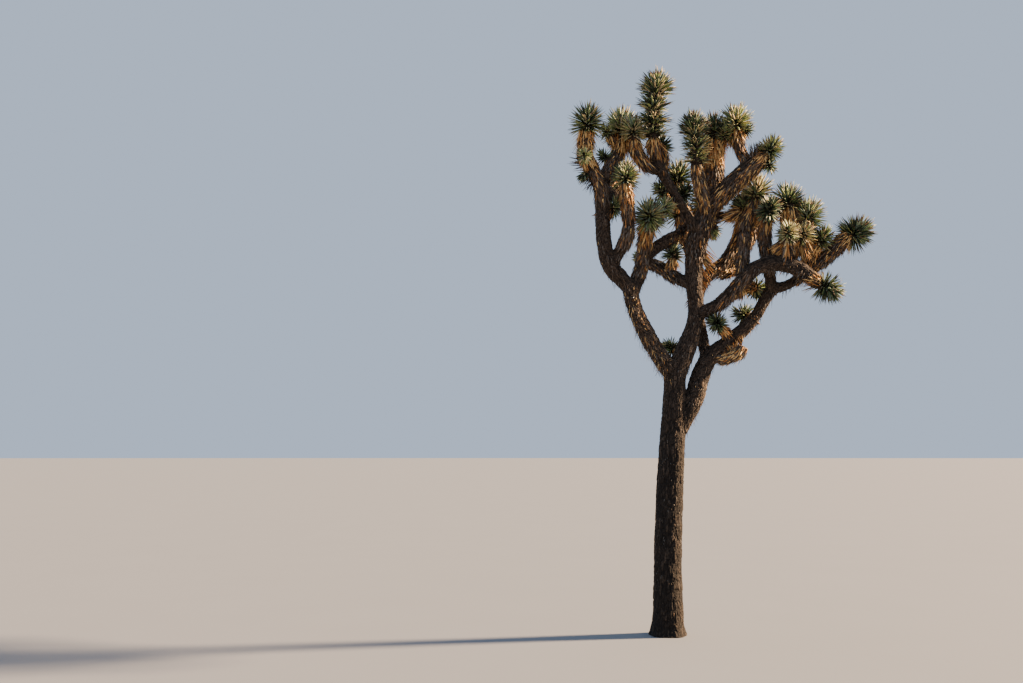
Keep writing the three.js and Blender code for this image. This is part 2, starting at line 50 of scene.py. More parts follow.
trunk = {
    "stations": ((0, 0, 0.19), (0.05, 0.001, 0.172), (0.15, 0.004, 0.156), (0.33, 0.008, 0.147),
                 (0.72, 0.012, 0.138), (1.11, 0.03, 0.137), (1.5, 0.052, 0.134), (1.9, 0.08, 0.13),
                 (2.18, 0.104, 0.124), (2.35, 0.11, 0.117), (2.52, 0.114, 0.11)),  # height, lean, radius
}

# on names the limb whose end a limb goes on from, radii run from foot to tip, and way is a row of
# places: how far across and up each shows, and how far back it is, in metres
limbs = {
    "centre_bough": dict(
        on="trunk", radii=(0.11, 0.106, 0.1, 0.084, 0.078, 0.084, 0.088, 0.092, 0.104, 0.108, 0.098),
        way=((0.14, 2.61, 0), (0.188, 2.705, 0), (0.235, 2.815, 0), (0.285, 2.945, 0), (0.33, 3.1, 0),
             (0.345, 3.26, 0), (0.33, 3.44, 0), (0.332, 3.62, 0), (0.352, 3.83, 0), (0.4, 4.03, 0),
             (0.47, 4.23, 0))),
    "left_bough": dict(
        radii=(0.09, 0.09, 0.086, 0.082, 0.078, 0.076),
        way=((0.115, 2.53, 0), (-0.01, 2.71, -0.02), (-0.1, 2.85, -0.05), (-0.175, 2.995, -0.08),
             (-0.245, 3.145, -0.11), (-0.3, 3.31, -0.135), (-0.33, 3.44, -0.15))),
    "right_bough": dict(
        radii=(0.084, 0.098, 0.1, 0.096, 0.086, 0.076, 0.072, 0.062, 0.058, 0.062),
        way=((0.16, 2.02, 0), (0.255, 2.21, 0.01), (0.32, 2.36, 0.025), (0.365, 2.51, 0.045),
             (0.42, 2.65, 0.06), (0.475, 2.735, 0.07), (0.55, 2.8, 0.07), (0.67, 2.89, 0.06),
             (0.82, 3.01, 0.04), (0.94, 3.14, 0.02), (1.01, 3.26, 0), (1.08, 3.37, -0.02),
             (1.13, 3.44, -0.04))),
    "left_outer_arm": dict(
        on="left_bough", radii=(0.076, 0.084, 0.082, 0.077, 0.075, 0.073, 0.07, 0.064),
        way=((-0.395, 3.52, -0.17), (-0.49, 3.625, -0.21), (-0.552, 3.755, -0.25),
             (-0.585, 3.94, -0.29), (-0.592, 4.15, -0.32), (-0.594, 4.32, -0.33), (-0.61, 4.5, -0.34),
             (-0.69, 4.68, -0.365))),
    "left_upper_arm": dict(
        radii=(0.054, 0.06, 0.06),
        way=((-0.59, 4.52, -0.333), (-0.53, 4.67, -0.27), (-0.47, 4.78, -0.2), (-0.42, 4.875, -0.165))),
    "left_inner_arm": dict(
        radii=(0.058, 0.062, 0.06),
        way=((-0.52, 3.65, -0.22), (-0.42, 3.82, -0.29), (-0.352, 3.96, -0.36), (-0.322, 4.1, -0.42))),
    "left_middle_arm": dict(
        radii=(0.066, 0.068, 0.062),
        way=((-0.3, 3.38, -0.145), (-0.25, 3.52, -0.11), (-0.202, 3.66, -0.09), (-0.182, 3.78, -0.085),
             (-0.168, 3.87, -0.11))),
    "left_cross_arm": dict(
        radii=(0.056, 0.062, 0.058, 0.054),
        way=((-0.19, 3.735, -0.085), (-0.06, 3.85, -0.01), (0.06, 3.93, 0.07), (0.195, 4, 0.17),
             (0.32, 4.1, 0.29))),
    "centre_left_limb": dict(
        radii=(0.058, 0.062, 0.06, 0.054),
        way=((0.32, 3.46, 0), (0.19, 3.525, 0.05), (0.09, 3.59, 0.12), (-0.02, 3.66, 0.2),
             (-0.14, 3.712, 0.29))),
    "spire_limb": dict(
        radii=(0.046, 0.046, 0.046, 0.048, 0.054, 0.058),
        way=((0.37, 3.96, -0.02), (0.3, 4.15, -0.11), (0.21, 4.32, -0.17), (0.11, 4.49, -0.21),
             (0.02, 4.67, -0.24), (-0.04, 4.86, -0.26))),
    "centre_back_limb": dict(
        radii=(0.05, 0.052, 0.05),
        way=((0.39, 3.96, 0.02), (0.31, 4.12, 0.14), (0.22, 4.3, 0.24), (0.17, 4.45, 0.3))),
    "crown_middle_stem": dict(
        on="centre_bough", radii=(0.098, 0.1, 0.102),
        way=((0.525, 4.41, 0.01), (0.556, 4.59, 0.01), (0.56, 4.74, 0))),
    "crown_left_stem": dict(
        radii=(0.058, 0.064, 0.064),
        way=((0.475, 4.18, -0.01), (0.458, 4.32, -0.1), (0.424, 4.47, -0.16), (0.398, 4.61, -0.19),
             (0.384, 4.73, -0.21))),
    "crown_right_limb": dict(
        radii=(0.07, 0.09, 0.1, 0.098, 0.086),
        way=((0.48, 4.22, -0.01), (0.592, 4.38, -0.1), (0.73, 4.51, -0.16), (0.87, 4.64, -0.2),
             (1.005, 4.748, -0.23))),
    "crown_right_upright": dict(
        radii=(0.044, 0.047, 0.052),
        way=((0.9, 4.675, -0.205), (0.875, 4.8, -0.165), (0.835, 4.895, -0.13), (0.815, 4.98, -0.11))),
    "right_cross_bough": dict(
        radii=(0.064, 0.064, 0.065, 0.068, 0.074),
        way=((0.35, 3.15, -0.005), (0.46, 3.21, -0.045), (0.56, 3.262, -0.09), (0.64, 3.328, -0.13),
             (0.722, 3.41, -0.17), (0.8, 3.5, -0.205), (0.88, 3.575, -0.235), (0.97, 3.65, -0.265))),
    "right_cross_arm": dict(
        on="right_cross_bough", radii=(0.074, 0.08, 0.08, 0.078, 0.066),
        way=((1.11, 3.695, -0.29), (1.26, 3.69, -0.31), (1.38, 3.65, -0.32), (1.47, 3.59, -0.322),
             (1.55, 3.53, -0.325))),
    "middle_upright": dict(
        radii=(0.056, 0.058, 0.058),
        way=((0.81, 3.52, -0.208), (0.835, 3.71, -0.18), (0.845, 3.855, -0.15), (0.855, 4.01, -0.13))),
    "right_outer_arm": dict(
        on="right_bough", radii=(0.062, 0.048, 0.047, 0.054, 0.062, 0.068, 0.072),
        way=((1.245, 3.455, -0.05), (1.35, 3.51, -0.055), (1.44, 3.575, -0.065), (1.55, 3.66, -0.075),
             (1.65, 3.73, -0.08), (1.76, 3.83, -0.07), (1.84, 3.91, -0.06))),
    "right_upright": dict(
        radii=(0.054, 0.058, 0.06),
        way=((1.115, 3.4, -0.035), (1.105, 3.565, -0.085), (1.085, 3.74, -0.11), (1.065, 3.915, -0.13),
             (1.07, 4.04, -0.165))),
    "dead_stub": dict(
        radii=(0.052, 0.056, 0.06, 0.054),
        way=((0.485, 2.735, 0.07), (0.595, 2.715, 0.03), (0.695, 2.74, -0.005), (0.78, 2.785, -0.03),
             (0.82, 2.84, -0.045))),
    "back_bough": dict(
        radii=(0.06, 0.062, 0.06, 0.06, 0.062, 0.06),
        way=((0.435, 2.73, 0.07), (0.4, 2.94, 0.17), (0.362, 3.16, 0.24), (0.365, 3.36, 0.3),
             (0.425, 3.52, 0.35), (0.52, 3.612, 0.39), (0.64, 3.705, 0.42), (0.725, 3.83, 0.445),
             (0.79, 3.95, 0.465))),
    "back_right_limb": dict(
        radii=(0.048, 0.05, 0.05),
        way=((0.65, 3.725, 0.425), (0.77, 3.775, 0.56), (0.858, 3.85, 0.7), (0.925, 3.96, 0.82))),
    "rear_bough": dict(
        radii=(0.054, 0.058, 0.054),
        way=((0.375, 3.07, 0.215), (0.33, 3.29, 0.4), (0.332, 3.53, 0.57), (0.36, 3.78, 0.71),
             (0.42, 4, 0.82))),
}

# each rosette's shoots: a shoot ends at the middle of its rosette, and one that goes on from no
# limb's end has its own stem's radius
shoots = {
    "spire_rosette": (
        dict(on="spire_limb", columnLeaves=30, column=0.45, reach=0.236, sleeve=0.64,
             way=((-0.058, 5.01, -0.27), (-0.056, 5.3, -0.288), (-0.016, 5.58, -0.305))),
    ),
    "left_outer_rosette": (
        dict(on="left_outer_arm", leaves=20,
             way=((-0.762, 4.83, -0.388), (-0.758, 4.99, -0.41), (-0.738, 5.195, -0.44))),
        dict(leaves=8, reach=0.11, stem=0.03, way=((-0.755, 4.8, -0.388), (-0.775, 4.825, -0.5))),
        dict(leaves=7, reach=0.12, stem=0.028, way=((-0.7, 4.71, -0.367), (-0.775, 4.63, -0.35))),
    ),
    "left_upper_rosette": (
        dict(on="left_upper_arm", leaves=22, reach=0.232,
             way=((-0.395, 4.97, -0.15), (-0.388, 5.135, -0.12))),
        dict(leaves=9, reach=0.11, stem=0.03,
             way=((-0.405, 4.935, -0.157), (-0.49, 4.985, -0.205), (-0.545, 5.08, -0.23))),
    ),
    "left_elbow_sprout": (
        dict(leaves=9, reach=0.11, stem=0.03, way=((-0.5, 4.73, -0.235), (-0.575, 4.815, -0.228))),
    ),
    "spire_left_rosette": (
        dict(leaves=18, reach=0.185, stem=0.05,
             way=((0.02, 4.65, -0.24), (-0.11, 4.705, -0.232), (-0.195, 4.8, -0.238),
                  (-0.25, 4.92, -0.245), (-0.268, 5.105, -0.262))),
    ),
    "spire_side_rosette": (
        dict(leaves=14, reach=0.15, stem=0.038,
             way=((0.02, 4.66, -0.238), (0.04, 4.78, -0.14), (0.02, 4.93, -0.095))),
    ),
    "left_inner_rosette": (
        dict(on="left_inner_arm", leaves=16, reach=0.16,
             way=((-0.335, 4.27, -0.455), (-0.345, 4.44, -0.48), (-0.36, 4.61, -0.5))),
    ),
    "left_middle_rosette": (
        dict(on="left_middle_arm", way=((-0.145, 4.03, -0.2), (-0.11, 4.2, -0.34))),
        dict(leaves=12, reach=0.15, stem=0.036,
             way=((-0.15, 4.01, -0.18), (-0.04, 4.15, -0.16), (0.045, 4.28, -0.17))),
    ),
    "left_cross_rosette": (
        dict(on="left_cross_arm", way=((0.43, 4.22, 0.36), (0.51, 4.34, 0.45))),
    ),
    "centre_left_rosette": (
        dict(on="centre_left_limb", leaves=12, reach=0.12,
             way=((-0.185, 3.73, 0.345), (-0.205, 3.745, 0.4))),
    ),
    "centre_left_sprout": (
        dict(leaves=12, reach=0.15, stem=0.036,
             way=((0.08, 3.61, 0.125), (0.112, 3.71, 0.11), (0.118, 3.8, 0.12))),
    ),
    "centre_back_rosette": (
        dict(on="centre_back_limb", way=((0.182, 4.6, 0.33),)),
    ),
    "centre_back_sprout": (
        dict(leaves=14, reach=0.15, stem=0.038,
             way=((0.24, 4.26, 0.215), (0.12, 4.34, 0.24), (0.02, 4.46, 0.275))),
        dict(leaves=14, reach=0.15, stem=0.036,
             way=((0.15, 4.32, 0.232), (0.19, 4.33, 0.13), (0.245, 4.42, 0.085))),
    ),
    "crown_left_rosette": (
        dict(on="crown_left_stem", leaves=20, columnLeaves=14, reach=0.2, column=0.3,
             way=((0.384, 4.885, -0.222), (0.37, 5.015, -0.235), (0.36, 5.13, -0.245))),
    ),
    "crown_middle_rosette": (
        dict(on="crown_middle_stem", leaves=20, way=((0.568, 4.93, -0.02), (0.563, 5.105, -0.035))),
        dict(leaves=14, reach=0.165, stem=0.046,
             way=((0.58, 4.87, -0.01), (0.645, 4.965, -0.06), (0.698, 5.065, -0.08))),
    ),
    "crown_right_upright_rosette": (
        dict(on="crown_right_upright", leaves=20, way=((0.8, 5.055, -0.1), (0.795, 5.195, -0.09))),
        dict(leaves=6, reach=0.1, stem=0.026,
             way=((0.803, 5.03, -0.103), (0.872, 5.045, -0.112), (0.915, 5.095, -0.118))),
    ),
    "crown_right_rosette": (
        dict(on="crown_right_limb", leaves=18, reach=0.165,
             way=((1.08, 4.82, -0.245), (1.155, 4.905, -0.258))),
        dict(leaves=8, reach=0.11, stem=0.032, way=((1.06, 4.8, -0.242), (1.13, 4.72, -0.255))),
        dict(leaves=6, reach=0.095, stem=0.026, way=((1.042, 4.785, -0.238), (1.048, 4.88, -0.228))),
    ),
    "middle_upright_rosette": (
        dict(on="middle_upright",
             way=((0.885, 4.12, -0.112), (0.945, 4.27, -0.075), (0.995, 4.445, -0.06))),
    ),
    "right_upright_rosette": (
        dict(on="right_upright", leaves=16, reach=0.165,
             way=((1.085, 4.155, -0.23), (1.115, 4.26, -0.33))),
    ),
    "right_cluster_rosette": (
        dict(leaves=20, stem=0.054, sleeve=0.62,
             way=((1.255, 3.7, -0.308), (1.32, 3.84, -0.255), (1.332, 3.98, -0.205),
                  (1.33, 4.19, -0.165), (1.315, 4.35, -0.14))),
        dict(stem=0.048,
             way=((1.325, 3.905, -0.235), (1.425, 4.015, -0.185), (1.49, 4.11, -0.165),
                  (1.515, 4.195, -0.158))),
        dict(leaves=14, reach=0.15, stem=0.04,
             way=((1.32, 3.85, -0.255), (1.29, 3.925, -0.33), (1.305, 4.015, -0.4))),
        dict(leaves=12, reach=0.15, stem=0.04,
             way=((1.34, 3.885, -0.245), (1.415, 3.95, -0.29), (1.465, 4, -0.32))),
    ),
    "right_forearm_rosette": (
        dict(leaves=18, reach=0.165, stem=0.044,
             way=((1.48, 3.625, -0.075), (1.51, 3.745, -0.095), (1.57, 3.85, -0.115),
                  (1.645, 3.95, -0.13))),
    ),
    "right_outer_rosette": (
        dict(on="right_outer_arm", leaves=24, reach=0.215,
             way=((1.9, 3.955, -0.05), (2.005, 4.015, -0.035))),
    ),
    "right_drooping_rosette": (
        dict(on="right_cross_arm", leaves=20, reach=0.19, sleeve=0.06,
             way=((1.62, 3.48, -0.33), (1.695, 3.445, -0.335))),
    ),
    "right_hanging_rosette": (
        dict(leaves=16, reach=0.145, stem=0.04,
             way=((0.78, 3.48, -0.198), (0.84, 3.47, -0.1), (0.91, 3.45, 0), (0.97, 3.43, 0.07))),
    ),
    "right_bough_sprout": (
        dict(leaves=14, reach=0.15, stem=0.038,
             way=((0.92, 3.12, 0.025), (0.88, 3.14, 0.11), (0.82, 3.165, 0.16))),
    ),
    "low_spur_rosette": (
        dict(leaves=16, reach=0.14, stem=0.052,
             way=((0.685, 2.9, 0.058), (0.635, 2.985, 0.015), (0.585, 3.04, -0.025),
                  (0.548, 3.085, -0.045))),
    ),
    "fork_sprout": (
        dict(leaves=12, reach=0.125, stem=0.036,
             way=((0.19, 2.745, 0), (0.16, 2.785, 0.08), (0.11, 2.815, 0.13), (0.075, 2.835, 0.15))),
    ),
    "centre_right_rosette": (
        dict(leaves=18, reach=0.19, stem=0.034, sleeve=0.12,
             way=((0.455, 4.18, -0.005), (0.6, 4.192, -0.01), (0.74, 4.2, -0.04), (0.84, 4.24, -0.03),
                  (0.89, 4.3, -0.01))),
        dict(leaves=12, reach=0.12, stem=0.028,
             way=((0.53, 4.188, -0.008), (0.54, 4.11, 0.04), (0.54, 4.04, 0.075))),
    ),
    "left_outer_sprout": (
        dict(leaves=12, reach=0.14, stem=0.04,
             way=((-0.6, 4.19, -0.323), (-0.535, 4.22, -0.285), (-0.475, 4.285, -0.262))),
    ),
    "back_rosette": (
        dict(on="back_bough", way=((0.83, 4.07, 0.49), (0.862, 4.19, 0.505), (0.875, 4.3, 0.525))),
    ),
    "back_right_rosette": (
        dict(on="back_right_limb", leaves=16, way=((0.985, 4.08, 0.9), (1.05, 4.21, 0.96))),
    ),
    "back_low_rosette": (
        dict(leaves=18, reach=0.17, stem=0.044,
             way=((0.545, 3.63, 0.398), (0.65, 3.6, 0.5), (0.735, 3.66, 0.61), (0.77, 3.74, 0.68))),
    ),
    "rear_rosette": (
        dict(on="rear_bough", leaves=16, way=((0.445, 4.19, 0.92), (0.462, 4.36, 0.99))),
    ),
    "rear_left_rosette": (
        dict(leaves=16, stem=0.052,
             way=((0.335, 3.58, 0.6), (0.29, 3.83, 0.79), (0.23, 4.06, 0.94), (0.195, 4.24, 1.01))),
    ),
    "left_rear_rosette": (
        dict(leaves=16, stem=0.052,
             way=((-0.605, 4.29, -0.33), (-0.53, 4.38, -0.15), (-0.45, 4.46, 0.06), (-0.4, 4.53, 0.22),
                  (-0.375, 4.62, 0.33))),
    ),
}


def place(spot):
    # further back along the line of sight, so that it shows in the same place
    across, up, back = spot
    point = np.array((across, 0.0, up))
    return eyePoint + (point - eyePoint) * (1 - back / eyePoint[1])


def unit(vectors):
    return vectors / np.maximum(np.linalg.norm(vectors, axis=-1, keepdims=True), 1e-9)


class Stem:
    # a smooth line through some points, in even short steps, with its direction and length
    def __init__(self, points, step=0.01):
        points = np.array(points, float)
        ends = (2 * points[0] - points[1], 2 * points[-1] - points[-2])
        knots = np.vstack((ends[0], points, ends[1]))
        fine = [points[0]]
        for a, b, c, d in zip(knots, knots[1:], knots[2:], knots[3:]):
            ab, bc, cd = (max(np.linalg.norm(q - p), 1e-6) ** 0.5 for p, q in ((a, b), (b, c), (c, d)))
            leave = bc * ((b - a) / ab - (c - a) / (ab + bc) + (c - b) / bc)
            arrive = bc * ((c - b) / bc - (d - b) / (bc + cd) + (d - c) / cd)
            for t in np.linspace(0, 1, 25)[1:]:
                fine.append(b + leave * t + (3 * (c - b) - 2 * leave - arrive) * t ** 2
                            + (2 * (b - c) + leave + arrive) * t ** 3)
        fine = np.array(fine)
        along = np.concatenate(((0,), np.cumsum(np.linalg.norm(np.diff(fine, axis=0), axis=1))))
        self.length = along[-1]
        count = max(int(round(self.length / step)), 4)
        self.along = np.linspace(0, self.length, count + 1)
        self.points = np.stack([np.interp(self.along, along, fine[:, k]) for k in range(3)], 1)
        self.axes = unit(np.gradient(self.points, axis=0))

    def at(self, distance):
        distance = np.clip(distance, 0, self.length)
        spots = np.stack([np.interp(distance, self.along, self.points[:, k]) for k in range(3)], -1)
        axes = unit(np.stack([np.interp(distance, self.along, self.axes[:, k]) for k in range(3)], -1))
        return spots, axes


def crossways(axes):
    # two directions square to each axis and to each other
    back = np.zeros_like(axes)
    back[..., 1] = 1
    normal = unit(back - axes * axes[..., 1:2])
    return normal, np.cross(axes, normal)


def spread(radii, shares):
    return np.interp(shares, np.linspace(0, 1, len(radii)), radii)


rosette = {
    "reach": 0.212, "leaves": 18,  # where the shoot gives no other
    "budLength": 0.045, "leafyStretch": 0.085,  # the leaves stand on these
    "topTilt": 5, "lowTilt": 118, "columnTilt": 76, "goldenAngle": 137.5,  # degrees
    "tier": 0.15, "tierDepth": 0.55,  # a column's leaves grow in tiers this tall
}
# a shoot's wood with its matted dead leaves: it begins a step slimmer than its bearer, swells to the
# full radius, and tapers to these shares of it at the rosette's middle and at the tip
sleeve = {
    "length": 0.33, "full": 0.07, "step": 0.006, "halfSwollenAt": 0.4,
    "taper": 0.1, "atMiddle": 0.55, "atTip": 0.2,
}

stems = {}  # name: stem, radius along it, the node it stands for
trunkStem = Stem([(lean, 0, height) for height, lean, radius in trunk["stations"]])
trunkHeights = [height for height, lean, radius in trunk["stations"]]
trunkRadii = np.interp(trunkStem.points[:, 2], trunkHeights, [s[2] for s in trunk["stations"]])
stems["trunk"] = dict(stem=trunkStem, radii=trunkRadii, node="trunk")
for name, limb in limbs.items():
    points = [place(spot) for spot in limb["way"]]
    if "on" in limb:
        points.insert(0, stems[limb["on"]]["stem"].points[-1])
    stem = Stem(points)
    stems[name] = dict(stem=stem, radii=spread(limb["radii"], stem.along / stem.length), node=name)

# heads with wider or slimmer sleeves, with more dead leaves hanging under them, and with leaves that sink
beards = {
    "crown_middle_rosette0": 1.35, "left_upper_rosette0": 1.15, "spire_rosette0": 0.9,
    "centre_right_rosette0": 0.6, "right_cluster_rosette0": 1.3, "right_cluster_rosette1": 1.3,
    "right_cluster_rosette2": 1.5, "right_cluster_rosette3": 1.5, "right_forearm_rosette0": 1.3,
}
fullSkirts = {
    "right_cluster_rosette0": 1.8, "right_cluster_rosette1": 2.2, "right_cluster_rosette2": 2.0,
    "right_cluster_rosette3": 2.2, "right_forearm_rosette0": 1.6,
}
droops = {
    "left_outer_rosette2": 0.9, "right_drooping_rosette0": 0.35, "centre_right_rosette1": 0.6,
    "right_hanging_rosette0": 0.4,
}
heads = []  # every rosette: its stem, where its leaves stand, and how large they are
for node, group in shoots.items():
    for number, shoot in enumerate(group):
        points = [place(spot) for spot in shoot["way"]]
        bearer = stems.get(shoot.get("on"))
        if bearer:
            points.insert(0, bearer["stem"].points[-1])
        line = Stem(points)
        points.append(line.points[-1] + line.axes[-1] * rosette["budLength"])
        stem = Stem(points)
        size = shoot.get("reach", rosette["reach"]) / rosette["reach"]
        foot = bearer["radii"][-1] if bearer else shoot["stem"]
        middle = stem.length - rosette["budLength"]
        column = shoot.get("column", 0)
        key = node + str(number)
        full = sleeve["full"] * size * beards.get(key, 1)
        distances = (0, middle * sleeve["halfSwollenAt"], middle - sleeve["taper"] * size, middle,
                     stem.length)
        widths = (foot - sleeve["step"], (foot + full) / 2, full, full * sleeve["atMiddle"],
                  full * sleeve["atTip"])
        radii = np.interp(stem.along, distances, widths)
        stems[key] = dict(stem=stem, radii=radii, node=node)
        heads.append(dict(node=node, key=key, stem=stem, radii=radii, size=size, column=column,
                          columnLeaves=shoot.get("columnLeaves", 0),
                          leaves=shoot.get("leaves", rosette["leaves"]),
                          sleeve=shoot.get("sleeve", sleeve["length"])))
print("stems:", len(stems), "rosettes:", len(heads))

# what each piece of bark covers
regions = {
    "Trunk": ("trunk",),
    "Left": ("left_bough", "left_outer_arm", "left_upper_arm", "left_inner_arm", "left_middle_arm",
             "left_cross_arm", "left_outer_rosette", "left_upper_rosette", "left_elbow_sprout",
             "left_inner_rosette", "left_middle_rosette", "left_cross_rosette",
             "left_outer_sprout", "left_rear_rosette"),
    "Centre": ("centre_bough", "centre_left_limb", "spire_limb", "centre_back_limb",
               "centre_left_rosette", "centre_left_sprout", "spire_rosette", "spire_left_rosette",
               "spire_side_rosette", "centre_back_rosette", "centre_back_sprout", "fork_sprout",
               "centre_right_rosette", "crown_middle_stem", "crown_left_stem", "crown_right_limb",
               "crown_right_upright", "crown_left_rosette", "crown_middle_rosette",
               "crown_right_upright_rosette", "crown_right_rosette"),
    "Right": ("right_bough", "right_outer_arm", "right_upright", "right_cross_bough",
              "right_cross_arm", "middle_upright", "middle_upright_rosette",
              "right_upright_rosette", "right_cluster_rosette", "right_forearm_rosette",
              "right_outer_rosette", "right_drooping_rosette", "right_hanging_rosette",
              "right_bough_sprout", "low_spur_rosette"),
    "Back": ("back_bough", "back_right_limb", "rear_bough", "back_rosette", "back_right_rosette",
             "back_low_rosette", "rear_rosette", "rear_left_rosette"),
    "Stub": ("dead_stub",),
}
regionOf = {node: region for region, nodes in regions.items() for node in nodes}


# finishes

class Shade:
    # wraps a socket, so that sums and products of shades add their Math nodes; inputs and out are
    # the names or numbers of a node's sockets
    def __init__(self, tree, socket=None):
        self.tree = tree
        self.socket = socket

    def add(self, kind, settings=None, inputs=None, out=0):
        node = self.tree.nodes.new(kind)
        for key, value in (settings or {}).items():
            if key == "stops":
                elements = node.color_ramp.elements
                for index, (spot, colour) in enumerate(value):
                    element = elements[index] if index < 2 else elements.new(spot)
                    element.position = spot
                    element.color = colour
            else:
                setattr(node, key, value)
        for key, value in (inputs or {}).items():
            if isinstance(value, Shade):
                self.tree.links.new(value.socket, node.inputs[key])
            else:
                node.inputs[key].default_value = value
        return Shade(self.tree, node.outputs[out])

    def sum(self, operation, first, second):
        return self.add("ShaderNodeMath", {"operation": operation}, {0: first, 1: second})

    def __add__(self, other):
        return self.sum("ADD", self, other)

    __radd__ = __add__

    def __sub__(self, other):
        return self.sum("SUBTRACT", self, other)

    def __mul__(self, other):
        return self.sum("MULTIPLY", self, other)

    __rmul__ = __mul__

    def clamped(self, low, high):
        return self.add("ShaderNodeMapRange", {"clamp": True}, {0: self, 1: low, 2: high})

    def scaled(self, x, y, z):
        return self.add("ShaderNodeVectorMath", {"operation": "MULTIPLY"}, {0: self, 1: (x, y, z)})

    def blended(self, first, second, mode="MIX"):
        # this shade is how much of the second colour shows
        return self.add("ShaderNodeMix", {"data_type": "RGBA", "blend_type": mode},
                        {0: self, 6: first, 7: second}, out=2)


def colour(text):
    # a colour as on a swatch, "a08060", made linear
    parts = [int(text[k:k + 2], 16) / 255 for k in (0, 2, 4)]
    return tuple(p / 12.92 if p <= 0.04045 else ((p + 0.055) / 1.055) ** 2.4 for p in parts) + (1.0,)


def newMaterial(name):
    material = bpy.data.materials.new(name)
    material.use_nodes = True
    tree = material.node_tree
    tree.nodes.clear()
    surface = tree.nodes.new("ShaderNodeBsdfPrincipled")
    output = tree.nodes.new("ShaderNodeOutputMaterial")
    tree.links.new(surface.outputs[0], output.inputs[0])
    return material, surface, Shade(tree)


def join(shade, surface, name):
    shade.tree.links.new(shade.socket, surface.inputs[name])


# how often a pattern repeats in a metre across and along a stem, and how much of it shows
barkPattern = {
    "fibre": (150, 150, 26), "chips": (85, 85, 34), "patches": (7, 7, 4),
    "toneShare": 0.75, "fibreShare": 0.4, "dustShare": 0.55, "chippedFurrow": 0.35,
    "roughness": 0.75, "relief": 0.006,
}


def barkMaterial(name, look):
    material, surface, start = newMaterial(name)
    grain = start.add("ShaderNodeAttribute", {"attribute_name": "grain"}, out=1)
    ridge = start.add("ShaderNodeAttribute", {"attribute_name": "ridge"}, out=2)
    # tone holds each plate's own tone plus painted sunlight on the lower boughs
    tone = start.add("ShaderNodeAttribute", {"attribute_name": "tone"}, out=2)
    fibre = start.add("ShaderNodeTexNoise", {}, {"Vector": grain.scaled(*barkPattern["fibre"]),
                                                "Scale": 1.0, "Detail": 4.0, "Roughness": 0.6})
    chips = start.add("ShaderNodeTexVoronoi", {"feature": "DISTANCE_TO_EDGE"},
                      {"Vector": grain.scaled(*barkPattern["chips"]), "Scale": 1.0})
    patches = start.add("ShaderNodeTexNoise", {}, {"Vector": grain.scaled(*barkPattern["patches"]),
                                                  "Scale": 1.0, "Detail": 3.0})
    shown = tone * barkPattern["toneShare"] + fibre * barkPattern["fibreShare"] - 0.1
    plate = start.add("ShaderNodeValToRGB", {"stops": look["plates"]}, {0: shown})
    dusty = patches.clamped(0.5, 0.75) * barkPattern["dustShare"]
    plate = dusty.blended(plate, look["dust"])
    aloft = start.add("ShaderNodeSeparateXYZ", {}, {0: start.add("ShaderNodeTexCoord", out=3)}, out=2)
    plate = aloft.clamped(look["from"], look["to"]).blended(plate, look["aloft"], "ADD")
    whole = barkPattern["chippedFurrow"] + (1 - barkPattern["chippedFurrow"]) * chips.clamped(0.0, 0.12)
    cracked = (ridge.clamped(0.05, 0.75) * whole).clamped(0.0, 1.0)
    join(cracked.blended(look["furrow"], plate), surface, "Base Color")
    join(fibre * 0.2 + barkPattern["roughness"], surface, "Roughness")
    surface.inputs["Specular IOR Level"].default_value = 0.25
    height = chips.clamped(0.0, 0.18) * 0.6 + fibre * 0.7
    bump = start.add("ShaderNodeBump", {}, {"Height": height, "Strength": look["bump"],
                                            "Distance": barkPattern["relief"]})
    join(bump, surface, "Normal")
    return material


barkLook = {
    "plates": ((0.0, colour("241f1b")), (0.45, colour("352e28")), (0.8, colour("483e35")),
               (0.94, colour("574a3f")), (1.0, colour("83705c"))),  # the last is painted sunlight, for the boughs' sides that face the sun
    "dust": colour("433c36"), "furrow": colour("0e0b0a"), "bump": 1.2,
    "from": 1.7, "to": 2.6, "aloft": colour("3a3028"),  # between these heights it gets paler
}
stubLook = {
    "plates": ((0.1, colour("7a6654")), (0.5, colour("ab957b")), (0.9, colour("d3bda0"))),
    "dust": colour("a79680"), "furrow": colour("17100b"), "bump": 1.2,
    "from": 2.0, "to": 3.0, "aloft": colour("181310"),
}
bark = barkMaterial("roughBark", barkLook)
weathered = barkMaterial("weatheredWood", stubLook)


leafPattern = {"cloud": 45.0, "streak": 420.0, "cloudShare": 0.7, "streakShare": 0.3, "relief": 0.002}


def leafMaterial(name, tint, roughness, mottle=0.25):
    material, surface, start = newMaterial(name)
    where = start.add("ShaderNodeTexCoord", out=3)
    cloud = start.add("ShaderNodeTexNoise", {}, {"Vector": where, "Scale": leafPattern["cloud"],
                                                "Detail": 3.0})
    streak = start.add("ShaderNodeTexNoise", {}, {"Vector": where, "Scale": leafPattern["streak"],
                                                 "Detail": 2.0})
    dark = tuple(c * (1 - mottle) for c in tint[:3]) + (1.0,)
    light = tuple(min(c * (1 + mottle), 1) for c in tint[:3]) + (1.0,)
    shown = cloud * leafPattern["cloudShare"] + streak * leafPattern["streakShare"]
    join(shown.clamped(0.3, 0.7).blended(dark, light), surface, "Base Color")
    join(streak * 0.2 + roughness - 0.1, surface, "Roughness")
    surface.inputs["Specular IOR Level"].default_value = 0.3
    bump = start.add("ShaderNodeBump", {}, {"Height": streak, "Strength": 0.25,
                                            "Distance": leafPattern["relief"]})
    join(bump, surface, "Normal")
    return material
